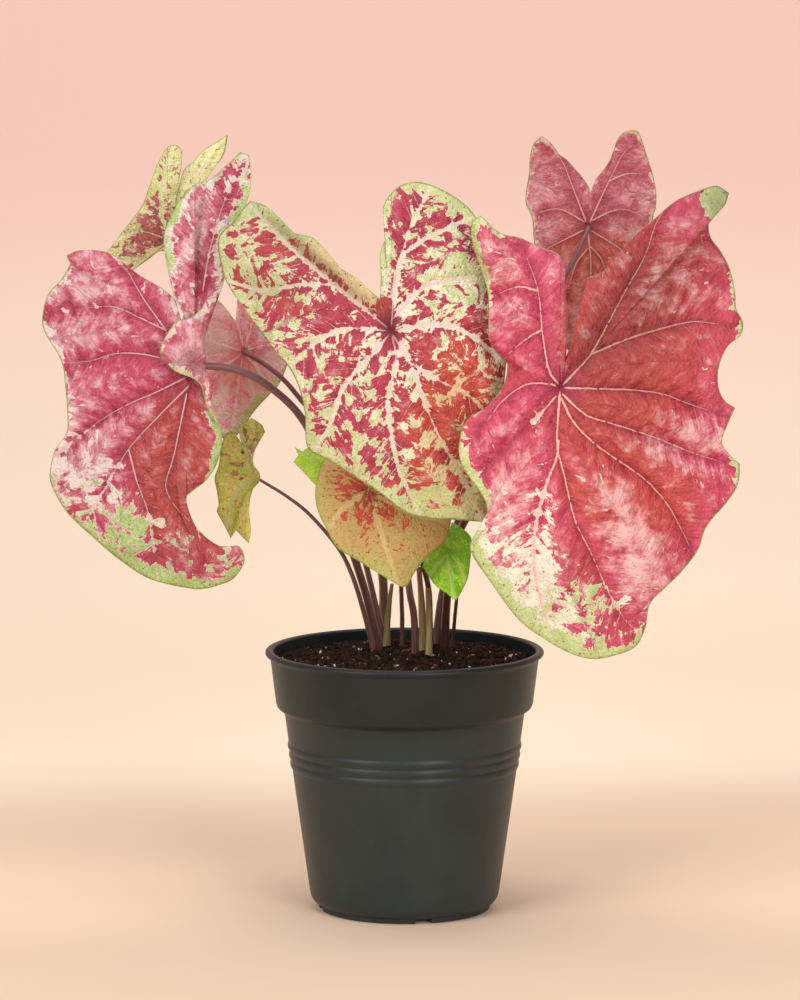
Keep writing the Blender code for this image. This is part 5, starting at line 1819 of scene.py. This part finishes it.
@dataclass
class Pot:
    """The moulded grow pot with its lip, collar, ribs, drain holes and foot notches."""

    round_by: float = 0.0007
    rib_steps: int = 8

    @staticmethod
    def body_radius(height: float) -> float:
        """The outer radius of the pot's body wall at a height, ribs left out."""
        if height < BODY_WAIST_HEIGHT:
            low, high = (BODY_FOOT_HEIGHT, BODY_FOOT_RADIUS), (BODY_WAIST_HEIGHT, BODY_WAIST_RADIUS)
        else:
            low, high = (BODY_WAIST_HEIGHT, BODY_WAIST_RADIUS), (BODY_TOP_HEIGHT, BODY_TOP_RADIUS)
        share = (height - low[0]) / (high[0] - low[0])
        return low[1] + share * (high[1] - low[1])

    @staticmethod
    def collar_hollow_radius(height: float) -> float:
        """The inner radius of the collar at a height."""
        share = (height - COLLAR_FOOT_HEIGHT) / (POT_HEIGHT - LIP_DEPTH - COLLAR_FOOT_HEIGHT)
        return COLLAR_FOOT_RADIUS + share * (COLLAR_TOP_RADIUS - COLLAR_FOOT_RADIUS) - WALL

    @classmethod
    def inner_wall(cls, clearance: float) -> Profile:
        """The hollow's wall from the floor's edge up to the collar, set in by a clearance."""
        inset = WALL + clearance
        floor = FLOOR_RISE + FLOOR_THICKNESS + clearance
        corner_width, corner_height = INNER_CORNER
        return [
            (BODY_FOOT_RADIUS - inset - corner_width, floor),
            (BODY_FOOT_RADIUS - inset - corner_width / 4, floor + corner_height),
            (BODY_FOOT_RADIUS - inset, BODY_FOOT_HEIGHT),
            (BODY_WAIST_RADIUS - inset, BODY_WAIST_HEIGHT),
            (BODY_TOP_RADIUS - inset, BODY_TOP_HEIGHT + WALL),
            (cls.collar_hollow_radius(COLLAR_FOOT_HEIGHT) - clearance, COLLAR_FOOT_HEIGHT),
        ]

    def lip(self) -> Profile:
        """The rolled lip, over the top from the inside to the collar's outer wall."""
        centre = RIM_RADIUS - LIP_HALF_WIDTH
        points = [(COLLAR_TOP_RADIUS - WALL, POT_HEIGHT - LIP_DEPTH)]
        for turn in range(160, -50, -15):
            angle = math.radians(turn)
            rise = LIP_RISE * (math.sin(angle) - 1)
            points.append((centre + LIP_HALF_WIDTH * math.cos(angle), POT_HEIGHT + rise))
        points.append((COLLAR_TOP_RADIUS + DRAFT, POT_HEIGHT - LIP_DEPTH))
        return points

    def ribs(self) -> Profile:
        """The three rounded ribs down the outer wall."""
        points = []
        for height in RIB_HEIGHTS:
            for k in range(self.rib_steps):
                share = 1 - 2 * k / self.rib_steps
                place = height + share * RIB_HALF_WIDTH
                points.append((self.body_radius(place) + RIB_RISE * (1 - share * share), place))
        last = RIB_HEIGHTS[-1] - RIB_HALF_WIDTH
        return [*points, (self.body_radius(last), last)]

    def rounded(self, profile: Profile) -> Profile:
        """A section with its clear corners rounded off."""
        found = [profile[0]]
        for before, corner, after in zip(profile, profile[1:], profile[2:]):
            a, b, c = (Vector((*point, 0)) for point in (before, corner, after))
            turn = (b - a).angle(c - b)
            if turn < SLIGHT_TURN or b.x < ON_AXIS:
                found.append(corner)
                continue
            start = b + (a - b).normalized() * min(self.round_by, (a - b).length * 0.4)
            end = b + (c - b).normalized() * min(self.round_by, (c - b).length * 0.4)
            for t in (0.0, 0.33, 0.67, 1.0):
                place = start * (1 - t) ** 2 + 2 * b * t * (1 - t) + end * t * t
                found.append((place.x, place.y))
        return [*found, profile[-1]]

    @staticmethod
    def cutters() -> list[bpy.types.Object]:
        """The solids that cut the drain holes and the foot notches."""
        made = []
        for i in range(DRAIN_COUNT):
            angle = math.tau * i / DRAIN_COUNT
            x, y = DRAIN_RING_RADIUS * math.cos(angle), DRAIN_RING_RADIUS * math.sin(angle)
            bpy.ops.mesh.primitive_cylinder_add(
                vertices=32, radius=DRAIN_RADIUS, depth=4 * FLOOR_THICKNESS,
                location=(x, y, FLOOR_RISE + FLOOR_THICKNESS / 2),
            )
            made.append(bpy.context.active_object)
        for i in range(NOTCH_COUNT):
            angle = math.tau * i / NOTCH_COUNT - math.pi / 2 + NOTCH_TURN
            bpy.ops.mesh.primitive_cube_add(
                size=1, location=(FOOT_RADIUS * math.cos(angle), FOOT_RADIUS * math.sin(angle), 0),
                rotation=(0, 0, angle), scale=(6 * FOOT_WALL, NOTCH_WIDTH, 2 * NOTCH_HEIGHT),
            )
            made.append(bpy.context.active_object)
        return made

    def build(self) -> bpy.types.Object:
        """The pot's mesh object."""
        floor_edge = FOOT_RADIUS - FOOT_WALL
        profile = [
            (0, FLOOR_RISE + FLOOR_THICKNESS), *self.inner_wall(0), *self.lip(),
            (COLLAR_FOOT_RADIUS, COLLAR_FOOT_HEIGHT), *COLLAR_UNDERSIDE, *self.ribs(),
            (BODY_FOOT_RADIUS, BODY_FOOT_HEIGHT), *BOTTOM_CORNER, (FOOT_RADIUS, 0), (floor_edge, 0),
            (floor_edge - DRAFT, FLOOR_RISE), (CENTRE_PAD_RADIUS + DRAFT, FLOOR_RISE),
            (CENTRE_PAD_RADIUS, 0), (0, 0),
        ]
        pot = turned("grow_pot", self.rounded(profile), TURN_STEPS)
        cutters = self.cutters()
        for cutter in cutters:
            boolean = pot.modifiers.new("cut", "BOOLEAN")
            boolean.operation, boolean.solver, boolean.object = "DIFFERENCE", "EXACT", cutter
        made_plain(pot)
        for cutter in cutters:
            bpy.data.objects.remove(cutter, do_unlink=True)
        pot.data.materials.clear()
        pot.data.materials.append(PlainFinishes.plastic())
        return pot


@dataclass
class Soil:
    """The potting mix: a lumpy top, and crumbs, bark and perlite strewn over it."""

    rings: int = 90
    steps: int = 220
    bed_rings: int = 30
    bed_steps: int = 90
    lump: float = 0.0016
    fine_grain: float = 260
    finer_grain: float = 640
    finer_share: float = 0.55
    crumb_lump: float = 0.6
    edge_clear: float = 0.0022

    def height(self, x: float, y: float) -> float:
        """The height of the soil's lumpy surface."""
        share = min(1.0, math.hypot(x, y) / Pot.collar_hollow_radius(SOIL_EDGE_HEIGHT))
        place = Vector((x, y, 0.0))
        lumps = noise.noise(place * SOIL_GRAIN) * SOIL_ROUGHNESS
        fine, finer = noise.noise(place * self.fine_grain), noise.noise(place * self.finer_grain)
        lumps += (fine + self.finer_share * finer) * self.lump
        return SOIL_EDGE_HEIGHT + SOIL_MOUND * (1 - share * share) + lumps * (1 - share**6 * 0.7)

    def body(self) -> bpy.types.Object:
        """The mix itself, 0.3 mm inside the pot."""
        wall = Pot.inner_wall(GAP)
        edge = Pot.collar_hollow_radius(SOIL_EDGE_HEIGHT) - GAP
        top = [(edge * k / self.rings, SOIL_EDGE_HEIGHT) for k in range(1, self.rings + 1)]
        profile = [(0, SOIL_EDGE_HEIGHT), *top, *reversed(wall), (0, wall[0][1])]
        made = turned("potting_mix", profile, self.steps, 180)
        for vertex in made.data.vertices:
            if vertex.co.z > SOIL_EDGE_HEIGHT - GAP:
                vertex.co.z = self.height(vertex.co.x, vertex.co.y)
        made.data.materials.append(PlainFinishes.mix("potting mix", rgb(9, 5, 4), rgb(60, 36, 22), 0.9))
        return made

    def bed(self) -> bpy.types.Object:
        """The soil's top on its own, for strewing on."""
        edge = Pot.collar_hollow_radius(SOIL_EDGE_HEIGHT) - self.edge_clear
        rings = [(edge * k / self.bed_rings, SOIL_EDGE_HEIGHT) for k in range(1, self.bed_rings + 1)]
        made = turned("bed", [(0, SOIL_EDGE_HEIGHT), *rings], self.bed_steps)
        for vertex in made.data.vertices:
            vertex.co.z = self.height(vertex.co.x, vertex.co.y)
        return made

    def crumb(self, name: str, flat: float, seed: float, narrow: float = 1.0) -> bpy.types.Object:
        """One lumpy unit-size crumb.

        Args:
            name: its name.
            flat: its height as a share of its width.
            seed: what sets its lumps.
            narrow: its depth as a share of its width.

        Returns:
            The crumb.
        """
        bpy.ops.mesh.primitive_ico_sphere_add(subdivisions=1, radius=0.5)
        made = bpy.context.active_object
        made.name = name
        for vertex in made.data.vertices:
            vertex.co *= 1 + self.crumb_lump * noise.noise(vertex.co * 3 + Vector((seed, 0, 0)))
            vertex.co.z *= flat
            vertex.co.y *= narrow
        return made

    @staticmethod
    def strewing(name: str, inputs: dict[str, str]) -> tuple[bpy.types.NodeTree, dict[str, str]]:
        """The Geometry Nodes that strew a shape over a mesh.

        Args:
            name: the tree's name.
            inputs: the kind of socket for each named input.

        Returns:
            The tree and the identifier of each input.
        """
        tree = bpy.data.node_groups.new(name, "GeometryNodeTree")
        face, add = tree.interface, tree.nodes.new
        face.new_socket("Geometry", in_out="INPUT", socket_type="NodeSocketGeometry")
        keys = {
            label: face.new_socket(label, in_out="INPUT", socket_type=kind).identifier
            for label, kind in inputs.items()
        }
        face.new_socket("Geometry", in_out="OUTPUT", socket_type="NodeSocketGeometry")
        start, end = add("NodeGroupInput"), add("NodeGroupOutput")
        points, instance = add("GeometryNodeDistributePointsOnFaces"), add("GeometryNodeInstanceOnPoints")
        turn, grow = add("FunctionNodeRandomValue"), add("FunctionNodeRandomValue")
        info, real = add("GeometryNodeObjectInfo"), add("GeometryNodeRealizeInstances")
        dress = add("GeometryNodeSetMaterial")
        turn.data_type, grow.data_type = "FLOAT_VECTOR", "FLOAT"
        turn.inputs["Max"].default_value = (math.tau, math.tau, math.tau)
        for source, output, target, taken in (
            (start, "Geometry", points, "Mesh"), (start, "Density", points, "Density"),
            (start, "Seed", points, "Seed"), (start, "Crumb", info, "Object"), (start, "Least", grow, 2),
            (start, "Most", grow, 3), (points, "Points", instance, "Points"),
            (info, "Geometry", instance, "Instance"), (turn, "Value", instance, "Rotation"),
            (grow, 1, instance, "Scale"), (instance, "Instances", real, "Geometry"),
            (real, "Geometry", dress, "Geometry"), (start, "Finish", dress, "Material"),
            (dress, "Geometry", end, "Geometry"),
        ):
            tree.links.new(source.outputs[output], target.inputs[taken])
        return tree, keys

    def strewn(self, name: str, crumb: bpy.types.Object, density: float, size: tuple[float, float],
               seed: int, finish: bpy.types.Material) -> bpy.types.Object:
        """Crumbs scattered over the bed by Geometry Nodes.

        Args:
            name: the piece's name.
            crumb: the shape to repeat.
            density: crumbs for each square metre.
            size: their least and greatest width in metres.
            seed: the scatter's seed.
            finish: their material.

        Returns:
            The piece.
        """
        made = self.bed()
        made.name = name
        inputs = {
            "Crumb": ("NodeSocketObject", crumb), "Density": ("NodeSocketFloat", density),
            "Least": ("NodeSocketFloat", size[0]), "Most": ("NodeSocketFloat", size[1]),
            "Seed": ("NodeSocketInt", seed), "Finish": ("NodeSocketMaterial", finish),
        }
        tree, keys = self.strewing("strew " + name, {label: kind for label, (kind, _) in inputs.items()})
        modifier = made.modifiers.new("strew", "NODES")
        modifier.node_group = tree
        for label, (_, value) in inputs.items():
            modifier[keys[label]] = value
        made_plain(made)
        made.data.shade_smooth()
        return made

    def build(self) -> list[bpy.types.Object]:
        """The mix with everything strewn on it."""
        dark = PlainFinishes.mix("dark crumbs", rgb(9, 5, 4), rgb(64, 40, 26), 0.9)
        bark = PlainFinishes.mix("bark", rgb(74, 46, 34), rgb(168, 126, 96), 0.8)
        white = PlainFinishes.mix("perlite", rgb(206, 194, 180), rgb(250, 244, 234), 0.8)
        round_crumb, chip = self.crumb("crumb", 0.8, 1.0), self.crumb("chip", 0.3, 5.0)
        sliver = self.crumb("sliver", 0.3, 9.0, 0.45)
        pieces = [
            self.body(),
            self.strewn("crumbs", round_crumb, 120000, (0.0008, 0.0054), 3, dark),
            self.strewn("bark_bits", chip, 18000, (0.0010, 0.0046), 5, bark),
            self.strewn("perlite_bits", sliver, 11000, (0.0010, 0.0046), 8, white),
        ]
        for shape in (round_crumb, chip, sliver):
            bpy.data.objects.remove(shape, do_unlink=True)
        return pieces


@dataclass
class Tuber:
    """The flattened tuber in the soil."""

    steps: int = 96
    bands: int = 28
    wrinkle: float = 0.0009

    def build(self) -> bpy.types.Object:
        """The tuber's mesh object, a little wrinkled and kept inside its hollow."""
        half, centre = TUBER_HEIGHT / 2, TUBER_TOP - TUBER_HEIGHT / 2
        profile = [(radius, centre + half) for radius in (0, TUBER_FLAT_RADIUS * 0.5, TUBER_FLAT_RADIUS)]
        for k in range(1, self.bands):
            angle = math.radians(60 - 130 * k / self.bands)
            profile.append((TUBER_RADIUS * math.cos(angle) ** 0.5, centre + half * math.sin(angle)))
        profile += [(TUBER_RADIUS * 0.3, centre - half), (0, centre - half)]
        made = turned("buried_tuber", profile, self.steps, 180)
        for vertex in made.data.vertices:
            shrink = self.wrinkle * (0.5 + 0.5 * noise.noise(vertex.co * 180))
            if math.hypot(vertex.co.x, vertex.co.y) > ON_AXIS and vertex.co.z < centre + half - 1e-5:
                vertex.co -= vertex.co.normalized() * shrink
            vertex.co.x += CROWN[0]
            vertex.co.y += CROWN[1]
        made.data.materials.append(PlainFinishes.mix("tuber skin", rgb(70, 48, 34), rgb(134, 98, 68), 0.85))
        return made


@dataclass
class Studio:
    """A curved pale backdrop, soft lights and the camera."""

    near: float = -4.0
    floor_end: float = 0.9
    curve: float = 1.4
    curve_steps: int = 24
    height: float = 4.0
    width: float = 9.0
    high: Colour = rgb(242, 203, 191)
    middle: Colour = rgb(249, 226, 206)
    low: Colour = rgb(254, 239, 214)
    # Painted shadow: the band of floor just below the wall
    ground: Colour = rgb(231, 206, 182)
    # Painted light: the floor to the right of the pot and further forward
    lit: Colour = rgb(243, 217, 191)
    # Painted shade: the front of the floor
    front: Colour = rgb(227, 201, 177)

    def backdrop(self) -> bpy.types.Object:
        """The floor that curves up into the wall behind, pink high on the wall and peach lower down. On the
        floor it has a painted shadow band just below the wall, painted light to the right of the pot and
        further forward, and painted shade at the front.
        """
        section = [(self.near, 0.0), (self.floor_end, 0.0)]
        for k in range(1, self.curve_steps + 1):
            angle = math.pi / 2 * k / self.curve_steps
            forward, rise = self.curve * math.sin(angle), self.curve * (1 - math.cos(angle))
            section.append((self.floor_end + forward, rise))
        section.append((self.floor_end + self.curve, self.height))
        half = self.width / 2
        points = [(x, y, z) for y, z in section for x in (-half, half)]
        faces = [(2 * i, 2 * i + 1, 2 * i + 3, 2 * i + 2) for i in range(len(section) - 1)]
        made = meshed("backdrop", points, faces, {})
        graph = Graph("paper backdrop")
        x, y, z = graph.parts(graph.place())
        slope = (z - VIEWPOINT[2]) / (y - VIEWPOINT[1]).most(0.05)
        shade = graph.mix(slope.within(-0.166, -0.110), self.low, self.middle)
        shade = graph.mix(slope.within(-0.120, -0.050), shade, self.high)
        # Painted shadow band on the floor below the wall, painted light to the right and further forward,
        # painted shade at the front
        shade = graph.mix(slope.within(-0.185, -0.2015), shade, self.ground)
        shade = graph.mix(slope.within(-0.190, -0.200) * x.within(0.0, 0.3), shade, self.lit)
        shade = graph.mix(slope.within(-0.204, -0.2125), shade, self.lit)
        shade = graph.mix(slope.within(-0.216, -0.2296), shade, self.front)
        behind = graph.node("ShaderNodeNewGeometry", pick=6)
        graph.set(Base_Color=shade, Roughness=0.9, Specular_IOR_Level=0.1, Alpha=1.0 - behind)
        made.data.materials.append(graph.material)
        return made

    @staticmethod
    def light(name: str, place: tuple[float, float, float], size: float, watts: float) -> None:
        """A square soft light that faces the plant."""
        data = bpy.data.lights.new(name, "AREA")
        data.size, data.energy, data.color = size, watts, LIGHT_COLOUR
        made = linked(name, data)
        made.location = place
        made.rotation_euler = (Vector(LIGHT_AIM) - Vector(place)).to_track_quat("-Z", "Y").to_euler()

    def build(self) -> bpy.types.Object:
        """Lights and camera, and the backdrop that it gives back."""
        scene = bpy.context.scene
        world = bpy.data.worlds.new("studio")
        world.use_nodes = True
        background = world.node_tree.nodes["Background"]
        background.inputs["Color"].default_value = WORLD_COLOUR
        background.inputs["Strength"].default_value = WORLD_STRENGTH
        scene.world = world
        scene.view_settings.view_transform = "Standard"
        for name, (place, size, watts) in LIGHTS.items():
            self.light(name, place, size, watts)
        data = bpy.data.cameras.new("camera")
        data.lens, data.sensor_width, data.sensor_fit = LENS_MM, SENSOR_MM, "AUTO"
        camera = linked("camera", data)
        camera.location = tuple(VIEWPOINT)
        camera.rotation_euler = (math.pi / 2 - SIGHT_PITCH, 0, 0)
        scene.camera = camera
        return self.backdrop()


BLADES = {
    "right": {"puff": 8.5, "wave": 1.8, "frill": 2.0, "rings": 52, "rib_width": 1.9},
    "centre": {"puff": 4.6, "wave": 2.4, "frill": 2.5, "rings": 46, "rib_width": 1.4},
    "left": {"puff": 5.4, "wave": 1.8, "frill": 2.0, "rings": 46, "rib_width": 1.3},
    "mid_left": {"puff": 2.2, "wave": 0.8, "rings": 26, "flip_under": True, "rib_width": 1.1},
    "back_left": {"puff": 1.6, "wave": 0.8, "rings": 26},
    "back_right": {"puff": 3.0, "wave": 1.0, "rings": 30, "flip_under": True, "rib_width": 1.1},
    "low_left": {"puff": 0.8, "wave": 0.5, "rings": 20, "rib_width": 0.8},
    "low_centre": {"puff": 1.2, "wave": 0.8, "rings": 24, "rib_width": 0.9},
    "low_right": {"puff": 1.4, "wave": 0.6, "rings": 20, "rib_width": 0.8},
    "small": {"puff": 0.6, "wave": 0.3, "rings": 12, "rib_width": 0.6},
}


def take(piece: bpy.types.Object, node: str) -> None:
    """Puts a finished piece in the frame in a node's place.

    Args:
        piece: the piece.
        node: the CAD node that it replaces.
    """
    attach(piece, "root")
    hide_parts(node)
    log.info("placed %s: %d faces", piece.name, len(piece.data.polygons))


def main() -> None:
    """Builds every piece around the frame."""
    logging.basicConfig(level=logging.INFO, format="%(message)s", stream=sys.stdout)
    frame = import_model()
    take(Pot().build(), "pot")
    for piece in Soil().build():
        take(piece, "soil")
    take(Tuber().build(), "tuber")
    for node, piece in Stalks().build().items():
        slot = Finish.SHEATH if node.startswith("sheath") else Finish.STALK
        slot = Finish.OLIVE_STALK if node == "petiole_back_left" else slot
        take(piece, node)
    for leaf in LEAVES:
        blade = Blade(leaf, PAINTS[leaf.name], **BLADES[leaf.name])
        take(blade.build(), "blade_" + leaf.name)
    Studio().build()
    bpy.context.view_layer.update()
    log.info("%d nodes dressed", len(frame["nodes"]))


if __name__ == "__main__":
    main()
